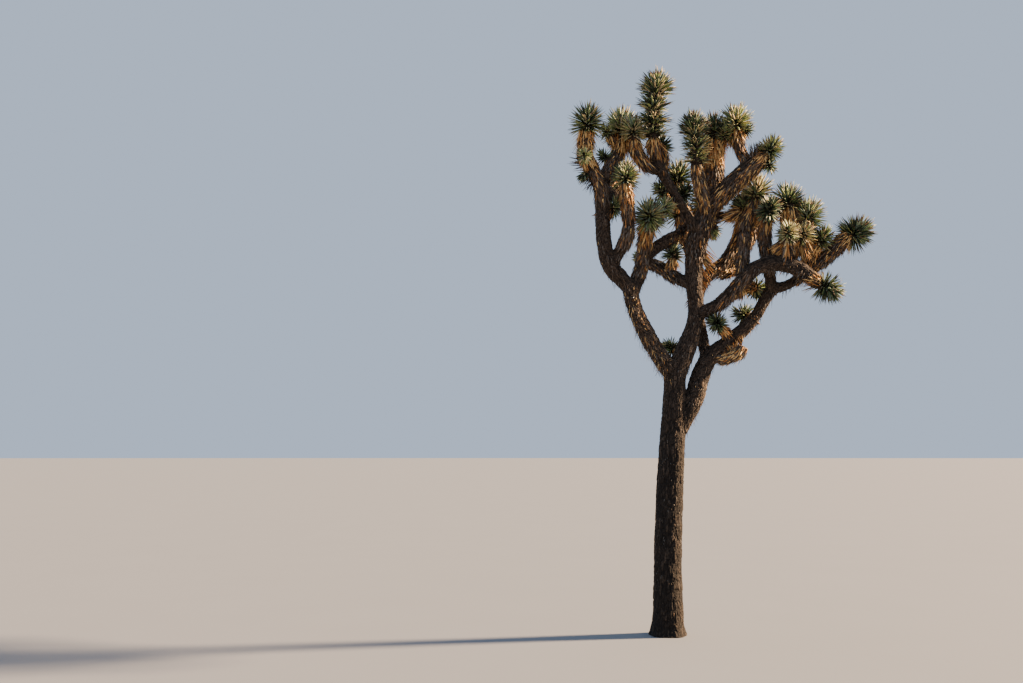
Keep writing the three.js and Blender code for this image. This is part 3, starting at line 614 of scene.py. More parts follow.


# the first six are the body of a leaf, then its foot, dark as painted shade in the rosette's core, and a
# brown tip
greenTints = [
    leafMaterial("leafDeep", colour("313e2f"), 0.45),
    leafMaterial("leafMid", colour("627450"), 0.45),
    leafMaterial("leafGrey", colour("778876"), 0.5),
    leafMaterial("leafYoung", colour("909e68"), 0.45),
    leafMaterial("leafYellow", colour("aca878"), 0.5),
    leafMaterial("leafDry", colour("bbad89"), 0.6),
    leafMaterial("leafFootPaintedShade", colour("36382a"), 0.55),
    leafMaterial("leafTip", colour("54402f"), 0.6),
]
dryTint, paintedShadeFootTint, tipTint = 5, 6, 7  # places in the list
deadTints = [
    leafMaterial("deadOrange", colour("b6834f"), 0.8, 0.3),
    leafMaterial("deadBrown", colour("6c5a4b"), 0.85, 0.3),
    leafMaterial("deadStraw", colour("e6c084"), 0.8, 0.3),
    leafMaterial("deadDark", colour("403832"), 0.9, 0.35),
    leafMaterial("deadGrey", colour("6d6863"), 0.9, 0.3),
]


# bark

barkShape = {
    "seed": 7,  # of the plates' bends, which would differ from run to run without it
    "knotsApart": 0.04, "sunk": 0.03, "voxel": 0.008, "smoothings": 6,
    "plateWide": 0.02, "plateTall": 0.085,  # one plate of bark on the trunk
    "narrower": 1.25, "shorter": 1.35,  # and how much smaller on a limb
    "warpRate": 0.45, "warp": 0.55, "gap": 0.28, "fine": 0.0016,  # bent plates, their gaps and grit
    "trunkFurrow": 0.008, "limbFurrow": 0.007, "stubFurrow": 0.013,
    "trunkLift": 0.002, "limbLift": 0.005, "liftFrom": 0.35,  # a plate's lower end stands off
    "swell": 0.006, "stubSwell": 0.022, "swellRate": 6.0,  # slow unevenness
    "settled": 0.8,  # share of a furrow's depth that lies inside the smooth stem
}
groundFlare = {"height": 0.3, "lobes": 5, "depth": 0.009, "turned": 0.8}


def tubeFor(name, stem, radii):
    # a curve with a round section, that starts a little inside its bearer and that convert makes a mesh
    data = bpy.data.curves.new(name, "CURVE")
    data.dimensions = "3D"
    data.bevel_depth = 1.0
    data.bevel_resolution = 6
    data.use_fill_caps = True
    line = data.splines.new("POLY")
    knots = max(int(stem.length / barkShape["knotsApart"]), 4)
    pick = np.unique(np.linspace(0, len(stem.along) - 1, knots).astype(int))
    spots = np.vstack((stem.points[:1] - stem.axes[:1] * barkShape["sunk"], stem.points[pick]))
    widths = np.concatenate((radii[:1], radii[pick]))
    line.points.add(len(spots) - 1)
    for knot, spot, width in zip(line.points, spots, widths):
        knot.co = (*spot, 1.0)
        knot.radius = width
    tube = bpy.data.objects.new(name, data)
    bpy.context.collection.objects.link(tube)
    return tube


def growWood():
    tubes = [tubeFor(name, part["stem"], part["radii"]) for name, part in stems.items()]
    for tube in tubes:
        tube.select_set(True)
    bpy.context.view_layer.objects.active = tubes[0]
    bpy.ops.object.convert(target="MESH")
    bpy.ops.object.join()
    wood = bpy.context.view_layer.objects.active
    remesh = wood.modifiers.new("skin", "REMESH")
    remesh.mode = "VOXEL"
    remesh.voxel_size = barkShape["voxel"]
    remesh.adaptivity = 0
    bpy.ops.object.modifier_apply(modifier="skin")
    smooth = wood.modifiers.new("soften", "SMOOTH")
    smooth.factor = 0.5
    smooth.iterations = barkShape["smoothings"]
    bpy.ops.object.modifier_apply(modifier="soften")
    bpy.ops.object.mode_set(mode="EDIT")
    bpy.ops.mesh.select_all(action="SELECT")
    bpy.ops.mesh.bisect(plane_co=(0, 0, 0), plane_no=(0, 0, 1), use_fill=True, clear_inner=True)
    bpy.ops.object.mode_set(mode="OBJECT")
    return wood


def nearestStems(points):
    # for every point the stem it belongs to, how far along and where round it lies
    everyStep, neighbours = 2, 8
    names = list(stems)
    spots, radii, owners, steps = [], [], [], []
    for index, name in enumerate(names):
        part = stems[name]
        pick = np.arange(0, len(part["stem"].along), everyStep)
        spots.append(part["stem"].points[pick])
        radii.append(part["radii"][pick])
        owners.append(np.full(len(pick), index))
        steps.append(pick)
    spots, radii = np.vstack(spots), np.concatenate(radii)
    owners, steps = np.concatenate(owners), np.concatenate(steps)
    tree = kdtree.KDTree(len(spots))
    for index, spot in enumerate(spots):
        tree.insert(spot, index)
    tree.balance()
    best = np.empty(len(points), int)
    for row, point in enumerate(points):
        best[row] = min(tree.find_n(point, neighbours), key=lambda hit: hit[2] - radii[hit[1]])[1]
    owner, step = owners[best], steps[best]
    along, around, reach = np.empty(len(points)), np.empty(len(points)), np.empty(len(points))
    for index, name in enumerate(names):
        mine = owner == index
        stem = stems[name]["stem"]
        away = points[mine] - stem.points[step[mine]]
        axes = stem.axes[step[mine]]
        ahead = np.sum(away * axes, 1)
        along[mine] = stem.along[step[mine]] + ahead
        normal, side = crossways(axes)
        around[mine] = np.arctan2(np.sum(away * side, 1), np.sum(away * normal, 1))
        reach[mine] = stems[name]["radii"][step[mine]]
    return names, owner, along, around, reach


# lower boughs with painted sunlight: a paler tone is painted on the side that faces this way, standing in
# for the sun's light there
paintedSunSides = {
    "left_bough": (0.6, -0.75, 0.2), "centre_bough": (0.93, -0.35, 0.1),
    "right_bough": (0.93, -0.35, 0.1),
}
# faint and strong are how squarely a side faces that way, and above fadesFrom it fades out
paintedSunOnBark = {"tone": 0.7, "faint": 0.35, "strong": 0.7, "fadesFrom": 3.15, "fadesOver": 0.25}


def paintedSunTone(names, owner, points, normals):
    # painted sunlight: how much paler each point is painted, by how squarely it faces its sunny way, fading
    # out higher up
    tone = np.zeros(len(points))
    for name, way in paintedSunSides.items():
        facing = normals @ unit(np.array(way))
        pale = np.clip((facing - paintedSunOnBark["faint"]) / (paintedSunOnBark["strong"] - paintedSunOnBark["faint"]), 0, 1)
        tone += np.where(owner == names.index(name), pale, 0)
    low = np.clip((paintedSunOnBark["fadesFrom"] - points[:, 2]) / paintedSunOnBark["fadesOver"] + 1, 0, 1)
    return paintedSunOnBark["tone"] * tone * low


def roughen(wood):
    # plates and furrows in the mesh, and the attributes that the bark's material reads
    noise.seed_set(barkShape["seed"])
    mesh = wood.data
    count = len(mesh.vertices)
    points = np.empty(count * 3)
    normals = np.empty(count * 3)
    mesh.vertices.foreach_get("co", points)
    mesh.vertices.foreach_get("normal", normals)
    points, normals = points.reshape(-1, 3), normals.reshape(-1, 3)
    names, owner, along, around, reach = nearestStems(points)
    grain = np.stack((np.cos(around) * reach, np.sin(around) * reach, along), 1)
    grain += owner[:, None] * np.array((0.37, 0.21, 0.53))  # no two stems share a pattern
    onTrunk = owner == names.index("trunk")
    onStub = owner == names.index("dead_stub")
    furrowDepth = np.select((onTrunk, onStub), (barkShape["trunkFurrow"], barkShape["stubFurrow"]),
                            barkShape["limbFurrow"])
    lift = np.where(onTrunk, barkShape["trunkLift"], barkShape["limbLift"])
    wide, tall = barkShape["plateWide"], barkShape["plateTall"]
    narrower, shorter = barkShape["narrower"], barkShape["shorter"]
    cells = grain * np.where(onTrunk[:, None], (1 / wide, 1 / wide, 1 / tall),
                             (narrower / wide, narrower / wide, shorter / tall))
    rate, strength = barkShape["warpRate"], barkShape["warp"]
    ridge, tone, height = np.empty(count), np.empty(count), np.empty(count)
    for row in range(count):
        x, y, z = cells[row]
        warp = noise.noise_vector((x * rate, y * rate, z * rate))
        spot = Vector((x + strength * warp.x, y + strength * warp.y, z + strength * warp.z))
        gaps, centres = noise.voronoi(spot)
        edge = min((gaps[1] - gaps[0]) / barkShape["gap"], 1.0)
        below = centres[0].z - spot.z  # above nought at the plate's lower end
        ridge[row] = edge
        tone[row] = noise.cell(centres[0] * 3.1)  # the same all over a plate
        grit = noise.noise(spot * 3.3)
        height[row] = edge * (min(max(below + barkShape["liftFrom"], 0), 1.0) * lift[row]
                              + furrowDepth[row] * (0.7 + 0.3 * tone[row])) + barkShape["fine"] * grit
    # painted sunlight: a paler tone on the lower boughs' sides that face the sun
    tone += paintedSunTone(names, owner, points, normals)
    slow = np.array([noise.noise(Vector(point) * barkShape["swellRate"]) for point in points])
    swell = np.where(onStub, barkShape["stubSwell"], barkShape["swell"])
    height += swell * slow - furrowDepth * barkShape["settled"]
    flare = np.clip(1 - points[:, 2] / groundFlare["height"], 0, 1) ** 2 * onTrunk
    height += flare * groundFlare["depth"] * np.cos(groundFlare["lobes"] * around + groundFlare["turned"])
    moved = points + normals * height[:, None]
    grounded = points[:, 2] < 1e-5
    moved[grounded, 2] = 0
    moved[:, 2] = np.maximum(moved[:, 2], 0)
    mesh.vertices.foreach_set("co", moved.ravel())
    for label, kind, values in (("grain", "FLOAT_VECTOR", grain), ("ridge", "FLOAT", ridge),
                                ("tone", "FLOAT", tone)):
        layer = mesh.attributes.new(label, kind, "POINT")
        layer.data.foreach_set("vector" if kind == "FLOAT_VECTOR" else "value", values.ravel())
    mesh.update()
    return names, owner


def splitByRegion(wood, names, owner):
    # one closed piece for each region, each with its own mesh
    regionNumbers = {region: index for index, region in enumerate(regions)}
    vertRegion = np.array([regionNumbers[regionOf[stems[name]["node"]]] for name in names])[owner]
    polygons = wood.data.polygons
    starts = np.empty(len(polygons), int)
    polygons.foreach_get("loop_start", starts)
    corners = np.empty(len(wood.data.loops), int)
    wood.data.loops.foreach_get("vertex_index", corners)
    faceRegion = vertRegion[corners[starts]]
    for region, index in regionNumbers.items():
        piece = wood.copy()
        piece.data = wood.data.copy()
        piece.name = piece.data.name = "bark" + region
        bpy.context.collection.objects.link(piece)
        shell = bmesh.new()
        shell.from_mesh(piece.data)
        shell.faces.ensure_lookup_table()
        bmesh.ops.delete(shell, geom=[f for f in shell.faces if faceRegion[f.index] != index],
                         context="FACES")
        rims = [edge for edge in shell.edges if edge.is_boundary]
        bmesh.ops.holes_fill(shell, edges=rims, sides=0)
        for face in shell.faces:
            face.smooth = True
        shell.to_mesh(piece.data)
        shell.free()
        piece.data.materials.clear()
        piece.data.materials.append(weathered if region == "Stub" else bark)
        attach(piece, "root")
        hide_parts(*regions[region])
        print("bark", region, len(piece.data.polygons))
    bpy.data.objects.remove(wood)


wood = growWood()
print("wood grown:", len(wood.data.vertices), "points")
names, owner = roughen(wood)
print("bark roughened")
splitByRegion(wood, names, owner)


# leaves, as joined meshes from arrays

bladeRings = ((0.0, 0.9), (0.35, 1.0), (0.72, 0.68))  # place along a blade, and its share of the width
bladePoints = 3 * len(bladeRings) + 1


def bladeMesh(name, blades, materials):
    # every blade is a three-sided spike with its keel underneath, bent through its middle
    root, middle, tip, up = (np.vstack([b[k] for b in blades]) for k in ("root", "middle", "tip", "up"))
    width, thick = (np.concatenate([b[k] for b in blades]) for k in ("width", "thick"))
    slots = np.vstack([b["slots"] for b in blades])
    count = len(root)
    rings = []
    for t, share in bladeRings:
        centre = (1 - t) ** 2 * root + 2 * t * (1 - t) * middle + t ** 2 * tip
        ahead = unit(2 * (1 - t) * (middle - root) + 2 * t * (tip - middle))
        side = unit(np.cross(ahead, up))
        top = np.cross(side, ahead)
        half = (width * share / 2)[:, None]
        deep = (thick * share)[:, None]
        rings += [centre + side * half + top * deep / 3, centre - side * half + top * deep / 3,
                  centre - top * deep * 2 / 3]
    points = np.stack(rings + [tip], 1)
    faces, bands = [(0, 1, 2)], [0]
    for ring in (0, 1):
        for j in range(3):
            k = (j + 1) % 3
            faces.append((3 * ring + j, 3 * ring + 3 + j, 3 * ring + 3 + k, 3 * ring + k))
            bands.append(ring)
    for j in range(3):
        faces.append((6 + j, 9, 6 + (j + 1) % 3))
        bands.append(2)
    loops, starts = [], []
    for face in faces:
        starts.append(len(loops))
        loops += face
    mesh = bpy.data.meshes.new(name)
    mesh.vertices.add(count * bladePoints)
    mesh.vertices.foreach_set("co", points.ravel())
    allLoops = (np.array(loops)[None, :] + bladePoints * np.arange(count)[:, None]).ravel()
    allStarts = (np.array(starts)[None, :] + len(loops) * np.arange(count)[:, None]).ravel()
    mesh.loops.add(len(allLoops))
    mesh.loops.foreach_set("vertex_index", allLoops.astype(np.int32))
    mesh.polygons.add(len(allStarts))
    mesh.polygons.foreach_set("loop_start", allStarts.astype(np.int32))
    mesh.polygons.foreach_set("material_index", slots[:, bands].ravel().astype(np.int32))
    mesh.update(calc_edges=True)
    mesh.validate()
    for material in materials:
        mesh.materials.append(material)
    piece = bpy.data.objects.new(name, mesh)
    bpy.context.collection.objects.link(piece)
    print(name, count, "blades")
    return piece


greenLeaf = {
    "perSourceLeaf": 12,  # how many for each one of the solids
    "inColumn": 1.7,  # and how many times that in a column
    "width": 0.021, "thick": 0.008, "shortest": 0.8, "longest": 1.08,
    "widthScatter": (0.8, 1.15), "tiltScatter": 7, "turnScatter": 8,
    "columnTilts": (44, 80), "columnSinks": 24, "columnLength": 0.97,
    "foot": 0.012, "stray": 0.06, "sag": 0.05,  # the foot stands off the stem, the tip strays and sinks
    "brownTips": 0.35, "yellowing": 0.4, "yellowFrom": 0.7,
}
# the spire's leaves at about this tilt are shorter, its youngest have dried and its column is darker
spire = {"neck": 0.34, "neckTilt": 28, "neckSpan": 17, "driedTips": 16, "darkColumn": 0.45}
# how much of each green a rosette has: deep, mid, grey, young, yellow, dry
tintShares = {
    "olive": (0.24, 0.3, 0.14, 0.18, 0.1, 0.04),
    "bright": (0.12, 0.18, 0.08, 0.34, 0.2, 0.08),
    "blue": (0.18, 0.26, 0.38, 0.12, 0.05, 0.01),
    "dark": (0.46, 0.32, 0.14, 0.05, 0.02, 0.01),
    "pale": (0.04, 0.2, 0.34, 0.28, 0.1, 0.04),
    "slate": (0.48, 0.26, 0.22, 0.03, 0.01, 0.0),
    "straw": (0.05, 0.08, 0.1, 0.19, 0.3, 0.28),
    "golden": (0.02, 0.1, 0.06, 0.46, 0.26, 0.1),
    # pale tints as painted sunlight, for a head that stands in shade
    "paintedSunTints": (0.0, 0.04, 0.08, 0.2, 0.36, 0.32),
}
# the paler tints of left_upper_rosette0, spire_left_rosette0, middle_upright_rosette0 and
# crown_right_upright_rosette0 are painted sunlight on heads in shade
headTints = {  # the others are olive
    "left_outer_rosette1": "bright", "left_outer_rosette2": "dark", "left_upper_rosette0": "golden",
    "left_upper_rosette1": "bright", "left_elbow_sprout0": "dark", "left_middle_rosette0": "pale",
    "left_middle_rosette1": "bright", "spire_left_rosette0": "paintedSunTints", "spire_side_rosette0": "dark",
    "centre_back_rosette0": "dark", "centre_back_sprout0": "blue", "centre_back_sprout1": "dark",
    "centre_left_sprout0": "dark", "centre_right_rosette0": "dark", "crown_left_rosette0": "dark",
    "crown_middle_rosette0": "dark", "crown_middle_rosette1": "bright",
    "crown_right_rosette0": "bright", "crown_right_upright_rosette0": "golden",
    "middle_upright_rosette0": "straw", "right_upright_rosette0": "dark",
    "right_cluster_rosette0": "dark", "right_cluster_rosette1": "pale",
    "right_cluster_rosette2": "straw", "right_cluster_rosette3": "straw",
    "right_drooping_rosette0": "slate", "right_outer_rosette0": "slate",
    "right_bough_sprout0": "blue", "low_spur_rosette0": "dark",
}
# dead leaves of a sleeve, folded back along the stem; widths are its narrowest and widest as shares
sleeveLeaf = {
    "spacing": 0.018,  # each covers about a square of this side
    "width": 0.015, "widths": (0.7, 1.15), "thick": 0.004, "shortest": 0.07, "longest": 0.15,
    "loose": 0.12,  # share that stands off the stem
    "onLimb": 0.65,  # how large they are on a limb
}
# the oldest leaves under a rosette, folding back
skirt = {
    "leaves": 75, "drop": 0.17, "foot": 0.03, "hang": 0.35, "firstTilt": 122, "lastTilt": 168,
    "width": 0.016, "widths": (0.7, 1.15), "thick": 0.004, "shortest": 0.13, "longest": 0.21,
}
# torn fibres on the bark, none of them lower than this, and the limbs with fewer or more
shred = {
    "spacing": 0.03, "width": 0.006, "widths": (0.6, 1.3), "thick": 0.002, "shortest": 0.015,
    "longest": 0.08, "lowest": 0.12, "onTrunk": 0.5,
    "few": ("spire_limb", "right_bough"), "fewShare": 0.45, "many": ("left_bough",), "manyShare": 1.2,
}

# how much of each dead colour shows where: orange, brown, straw, dark and grey
nearHead = np.array((0.3, 0.19, 0.33, 0.14, 0.04))
farFromHead = np.array((0.16, 0.38, 0.08, 0.24, 0.14))
# more straw and orange: painted sunlight for dead leaves that stand in shade
paintedSunlit = np.array((0.28, 0.05, 0.54, 0.11, 0.02))
onLimb = np.array((0.06, 0.34, 0.05, 0.29, 0.26))
onBark = np.array((0.0, 0.2, 0.01, 0.42, 0.37))
onTrunkBark = np.array((0.0, 0.1, 0.0, 0.7, 0.2))
onStub = np.array((0.08, 0.2, 0.34, 0.2, 0.18))
onSpikes = np.array((0, 0.1, 0, 0.75, 0.15))
# heads whose dead leaves have painted sunlight
paintedSunlitHeads = ("crown_middle_rosette0", "left_upper_rosette0", "left_outer_rosette0")
cladShares = {  # other limbs have the shares of onLimb; the two crown limbs have a third of painted sunlight
    "crown_left_stem": (paintedSunlit + 2 * onLimb) / 3, "crown_right_limb": (paintedSunlit + 2 * onLimb) / 3,
    "dead_stub": onStub,
}

# each bunch of blades draws from a seed of its own: one of these and its place in the list
seeds = {
    "green": 100, "sleeve": 300, "clad": 500, "skirt": 700, "shred": 900, "moreShreds": 1000,
    "spike": 1200, "tuft": 1300,
}
down = np.array((0, 0, -1.0))


def outwardFrom(axes, turns):
    normal, side = crossways(axes)
    return normal * np.cos(turns)[:, None] + side * np.sin(turns)[:, None]


def pickTints(rng, shares):
    # one tint a leaf, from its own row of shares
    steps = np.cumsum(shares / shares.sum(1, keepdims=True), 1)
    return np.minimum((rng.random(len(shares))[:, None] > steps).sum(1), shares.shape[1] - 1)


def scattered(rng, most, count):
    return rng.uniform(-most, most, count)


def greenBlades(head, seed):
    # upright leaves at the bud, flatter and hanging ones below it, then those of a column
    rng = np.random.default_rng(seed)
    stem, size = head["stem"], head["size"]
    onSpire = head["node"] == "spire_rosette"
    crown = int(head["leaves"] * greenLeaf["perSourceLeaf"] * (0.3 + 0.7 * size))
    inColumn = int(head["columnLeaves"] * greenLeaf["perSourceLeaf"] * greenLeaf["inColumn"])
    index = np.arange(crown + inColumn)
    share = np.minimum((index + 0.5) / crown, 1)
    below = np.maximum(index - crown, 0) / max(inColumn, 1)
    lowest = rosette["columnTilt"] if inColumn else rosette["lowTilt"]
    cosine = np.cos(np.radians(rosette["topTilt"])) * (1 - share) + np.cos(np.radians(lowest)) * share
    tilt = np.arccos(cosine) + np.radians(scattered(rng, greenLeaf["tiltScatter"], len(index)))
    tier = 0.5 + 0.5 * np.cos(2 * math.pi * below * head["column"] / rosette["tier"])
    columnTilt = rng.uniform(*greenLeaf["columnTilts"], len(index)) + greenLeaf["columnSinks"] * below
    tilt = np.where(below > 0, np.radians(columnTilt), tilt)
    turn = np.radians(index * rosette["goldenAngle"] + scattered(rng, greenLeaf["turnScatter"], len(index)))
    drop = rosette["budLength"] * 0.6 + share * rosette["leafyStretch"] * size + below * head["column"]
    spots, axes = stem.at(stem.length - drop)
    outward = outwardFrom(axes, turn)
    aim = axes * np.cos(tilt)[:, None] + outward * np.sin(tilt)[:, None]
    aim = unit(aim - np.array((0, 0, droops.get(head["key"], 0))))
    length = rosette["reach"] * size * rng.uniform(greenLeaf["shortest"], greenLeaf["longest"], len(index))
    depth = rosette["tierDepth"] if onSpire else rosette["tierDepth"] / 3
    length *= np.where(below > 0, greenLeaf["columnLength"] - depth * (1 - tier), 1.0)
    if onSpire:
        nearNeck = np.exp(-((np.degrees(tilt) - spire["neckTilt"]) / spire["neckSpan"]) ** 2)
        length *= 1 - spire["neck"] * nearNeck
    root = spots + outward * greenLeaf["foot"] * size
    bend = scattered(rng, greenLeaf["stray"], (len(index), 3)) - axes * greenLeaf["sag"] * share[:, None]
    middle = root + aim * length[:, None] * 0.5
    tip = root + unit(aim + bend) * (length - greenLeaf["foot"])[:, None]
    shares = np.tile(tintShares[headTints.get(head["key"], "olive")], (len(index), 1))
    old = np.clip(share - greenLeaf["yellowFrom"], 0, 1) + 0.15 * (below > 0)  # the lower, the yellower
    shares[:, 4:] += old[:, None] * greenLeaf["yellowing"]
    if onSpire:
        shares[:, 0] += spire["darkColumn"] * (below > 0)
    body = pickTints(rng, shares)
    ends = np.where(rng.random(len(index)) < greenLeaf["brownTips"], tipTint, body)
    if onSpire:
        ends[:spire["driedTips"]] = dryTint
    # every leaf's foot takes the dark tint, painted shade in the rosette's core
    slots = np.stack((np.full(len(index), paintedShadeFootTint), body, ends), 1)
    wide = greenLeaf["width"] * (0.6 + 0.4 * size) * rng.uniform(*greenLeaf["widthScatter"], len(index))
    return dict(root=root, middle=middle, tip=tip, up=axes, width=wide,
                thick=np.full(len(index), greenLeaf["thick"]), slots=slots)


def deadLeavesFrom(rng, kind, shares, root, middle, tip, up):
    # one tint all along each leaf
    count = len(root)
    slots = np.repeat(pickTints(rng, shares)[:, None], 3, 1)
    return dict(root=root, middle=middle, tip=tip, up=up, slots=slots,
                width=kind["width"] * rng.uniform(*kind["widths"], count),
                thick=np.full(count, kind["thick"]))


def skirtBlades(head, seed):
    # leaves that die under the rosette and fold back onto the stem, loose ends hanging
    rng = np.random.default_rng(seed)
    stem, size = head["stem"], head["size"]
    top = stem.length - rosette["budLength"] - rosette["leafyStretch"] * size - head["column"]
    full = fullSkirts.get(head["key"], 1)
    count = int(skirt["leaves"] * full * (0.35 + 0.65 * size)) if top > 0.08 else 0
    if not count:
        return None
    share = (np.arange(count) + rng.random(count)) / count
    tilt = np.radians(skirt["firstTilt"] + (skirt["lastTilt"] - skirt["firstTilt"]) * share ** 0.7
                      + scattered(rng, 9, count))
    turn = np.radians(np.arange(count) * rosette["goldenAngle"] + scattered(rng, 14, count))
    spots, axes = stem.at(top - share * min(skirt["drop"] * size, top * 0.6))
    outward = outwardFrom(axes, turn)
    aim = axes * np.cos(tilt)[:, None] + outward * np.sin(tilt)[:, None]
    length = size * rng.uniform(skirt["shortest"], skirt["longest"], count)
    root = spots + outward * skirt["foot"] * size
    middle = root + aim * (length * 0.5)[:, None]
    hang = unit(aim + down * skirt["hang"] + rng.normal(0, 0.12, (count, 3)))
    tip = middle + hang * (length * 0.5)[:, None]
    near = paintedSunlit if head["key"] in paintedSunlitHeads else nearHead
    shares = near * (1 - share[:, None]) + (near + farFromHead) / 2 * share[:, None]
    return deadLeavesFrom(rng, skirt, shares, root, middle, tip, outward)


def sleeveBlades(stem, radii, start, end, seed, size=1.0, density=1.0, shares=None, under=0.0):
    # dead leaves folded back along a stem; with under, mostly on its lower side
    rng = np.random.default_rng(seed)
    if end - start < 0.02:
        return None
    width = float(np.mean(np.interp((start, end), stem.along, radii)))
    count = int(2 * math.pi * width * (end - start) / (sleeveLeaf["spacing"] ** 2 * size) * density)
    distance = start + (end - start) * (np.arange(count) + rng.random(count)) / max(count, 1)
    turn = np.radians(np.arange(count) * rosette["goldenAngle"] + scattered(rng, 12, count))
    spots, axes = stem.at(distance)
    out = outwardFrom(axes, turn)
    kept = rng.random(count) > under * np.clip(0.75 + out[:, 2] * 2.5, 0, 1)
    distance, spots, axes, out = distance[kept], spots[kept], axes[kept], out[kept]
    count = len(distance)
    radius = np.interp(distance, stem.along, radii)
    length = rng.uniform(sleeveLeaf["shortest"], sleeveLeaf["longest"], count) * size
    loose = (rng.random(count) < sleeveLeaf["loose"] + 0.2 * under)[:, None]
    first = unit(out * np.where(loose, 0.7, 0.32) - axes * 0.8 + rng.normal(0, 0.08, (count, 3)))
    hang = down * np.where(loose, 0.6, 0.12 + 0.5 * under)
    after = unit(out * np.where(loose, 0.25, 0.02) - axes * 0.95 + hang
                 + rng.normal(0, 0.1, (count, 3)))
    root = spots + out * (radius * 0.93)[:, None]
    middle = root + first * (length * 0.35)[:, None]
    tip = middle + after * (length * 0.65)[:, None]
    if shares is None:
        high = ((distance - start) / (end - start))[:, None]
        shares = farFromHead * (1 - high) + nearHead * high
    else:
        shares = np.tile(shares, (count, 1))
    return deadLeavesFrom(rng, sleeveLeaf, shares, root, middle, tip, out)


def shredBlades(stem, radii, seed, density=1.0, shares=onBark):
    # short torn fibres that hang from the bark, longer and closer on its lower side
    rng = np.random.default_rng(seed)
    width = float(np.mean(radii))
    count = int(2 * math.pi * width * stem.length / shred["spacing"] ** 2 * density)
    distance = stem.length * rng.random(count)
    spots, axes = stem.at(distance)
    out = outwardFrom(axes, rng.uniform(0, 2 * math.pi, count))
    radius = np.interp(distance, stem.along, radii)
    root = spots + out * (radius * 0.97)[:, None]
    lower = np.clip(-out[:, 2] * 2, 0, 1)
    kept = (root[:, 2] > shred["lowest"]) & (rng.random(count) < 0.45 + lower)
    root, out, axes, lower = root[kept], out[kept], axes[kept], lower[kept]
    count = len(root)
    longer = (shred["longest"] - shred["shortest"]) * rng.random(count) ** 2 * (0.5 + lower)
    length = shred["shortest"] + longer
    first = unit(out * 0.45 - axes * 0.6 + down * 0.5 + rng.normal(0, 0.15, (count, 3)))
    after = unit(out * 0.1 + down * 0.9 + rng.normal(0, 0.25, (count, 3)))
    middle = root + first * (length * 0.4)[:, None]
    tip = middle + after * (length * 0.6)[:, None]
    return deadLeavesFrom(rng, shred, np.tile(shares, (count, 1)), root, middle, tip, out)


# limbs still clad in dead leaves: from and to as shares of the limb, how densely, and how much
# more on the lower side
clad = {
    "centre_bough": (0.7, 1.0, 0.4, 0.3), "crown_middle_stem": (0.4, 1.0, 0.8, 0),
    "crown_left_stem": (0.1, 1.0, 0.9, 0), "crown_right_limb": (0.08, 1.0, 1.0, 0.85),
    "crown_right_upright": (0.2, 1.0, 0.8, 0), "left_outer_arm": (0.72, 1.0, 0.8, 0),
    "left_upper_arm": (0.2, 1.0, 0.9, 0), "left_inner_arm": (0.55, 1.0, 0.8, 0),
    "left_middle_arm": (0.4, 1.0, 0.8, 0), "left_cross_arm": (0.5, 1.0, 0.8, 0.4),
    "centre_left_limb": (0.35, 1.0, 0.7, 0.7),
    "centre_back_limb": (0.4, 1.0, 0.8, 0), "middle_upright": (0.2, 1.0, 0.8, 0),
    "right_upright": (0.35, 1.0, 0.9, 0), "right_outer_arm": (0.3, 1.0, 0.8, 0.6),
    "right_cross_bough": (0.3, 0.9, 0.5, 0.85), "back_bough": (0.5, 1.0, 0.8, 0.3),
    "back_right_limb": (0.3, 1.0, 0.8, 0), "rear_bough": (0.6, 1.0, 0.7, 0),
    "dead_stub": (0.3, 1.0, 0.9, 0),
}

# bunches of dead leaves that stick out: stem, share along it, how many, aim and length; those of
# spikes are stiff and dark, and those of tufts have the colours of a head's dead leaves
tufts = (
    ("right_cluster_rosette1", 0.2, 60, (0.2, 0, -1), 0.19),
    ("right_cluster_rosette1", 0.5, 60, (0.35, 0, -1), 0.19),
    ("right_cluster_rosette3", 0.5, 60, (0.3, 0, -1), 0.2),
    ("right_cluster_rosette2", 0.4, 50, (-0.2, 0, -1), 0.18),
    ("right_cluster_rosette0", 0.2, 60, (0.15, 0, -1), 0.15),
    ("right_forearm_rosette0", 0.45, 50, (-0.45, 0, -0.9), 0.16),
    ("dead_stub", 0.72, 26, (-0.1, 0, 1), 0.075),
    ("dead_stub", 0.5, 30, (0.05, 0, 1), 0.07),
    ("dead_stub", 0.9, 26, (-0.35, 0, 1), 0.085),
    ("back_bough", 0.5, 80, (-0.6, 0, -0.8), 0.15),
    ("back_bough", 0.64, 70, (-0.75, 0, -0.6), 0.14),
    ("right_hanging_rosette0", 0.1, 50, (-0.2, 0, -1), 0.14),
    ("centre_bough", 0.78, 80, (0.6, 0.1, -0.75), 0.2),
    ("centre_bough", 0.68, 80, (0.55, 0.15, -0.85), 0.2),
    ("right_cluster_rosette0", 0.3, 70, (-0.75, 0, -0.65), 0.15),
    ("right_upright", 0.75, 60, (0.8, 0.1, -0.6), 0.13),
    ("right_cluster_rosette2", 0.35, 60, (-0.8, 0, -0.6), 0.15),
)
spikes = (
    ("crown_right_limb", 0.96, 34, (-0.12, -0.3, 1), 0.15),
    ("left_outer_rosette0", 0.1, 22, (-1, 0, 0.05), 0.16),
    ("left_outer_arm", 0.97, 20, (-0.55, 0, -0.8), 0.15),
    ("left_inner_arm", 0.2, 12, (0.1, 0, -1), 0.12),
    ("left_middle_arm", 0.85, 12, (0.7, 0, -0.7), 0.12),
    ("centre_bough", 0.97, 12, (0.9, 0, -0.5), 0.12),
)
bunchLeaf = {
    "width": 0.017, "widths": (1, 1), "thick": 0.006, "shortest": 0.7, "longest": 1.1,
    "spread": 0.035, "stray": 0.15, "bend": 0.006, "foot": 0.9,
}


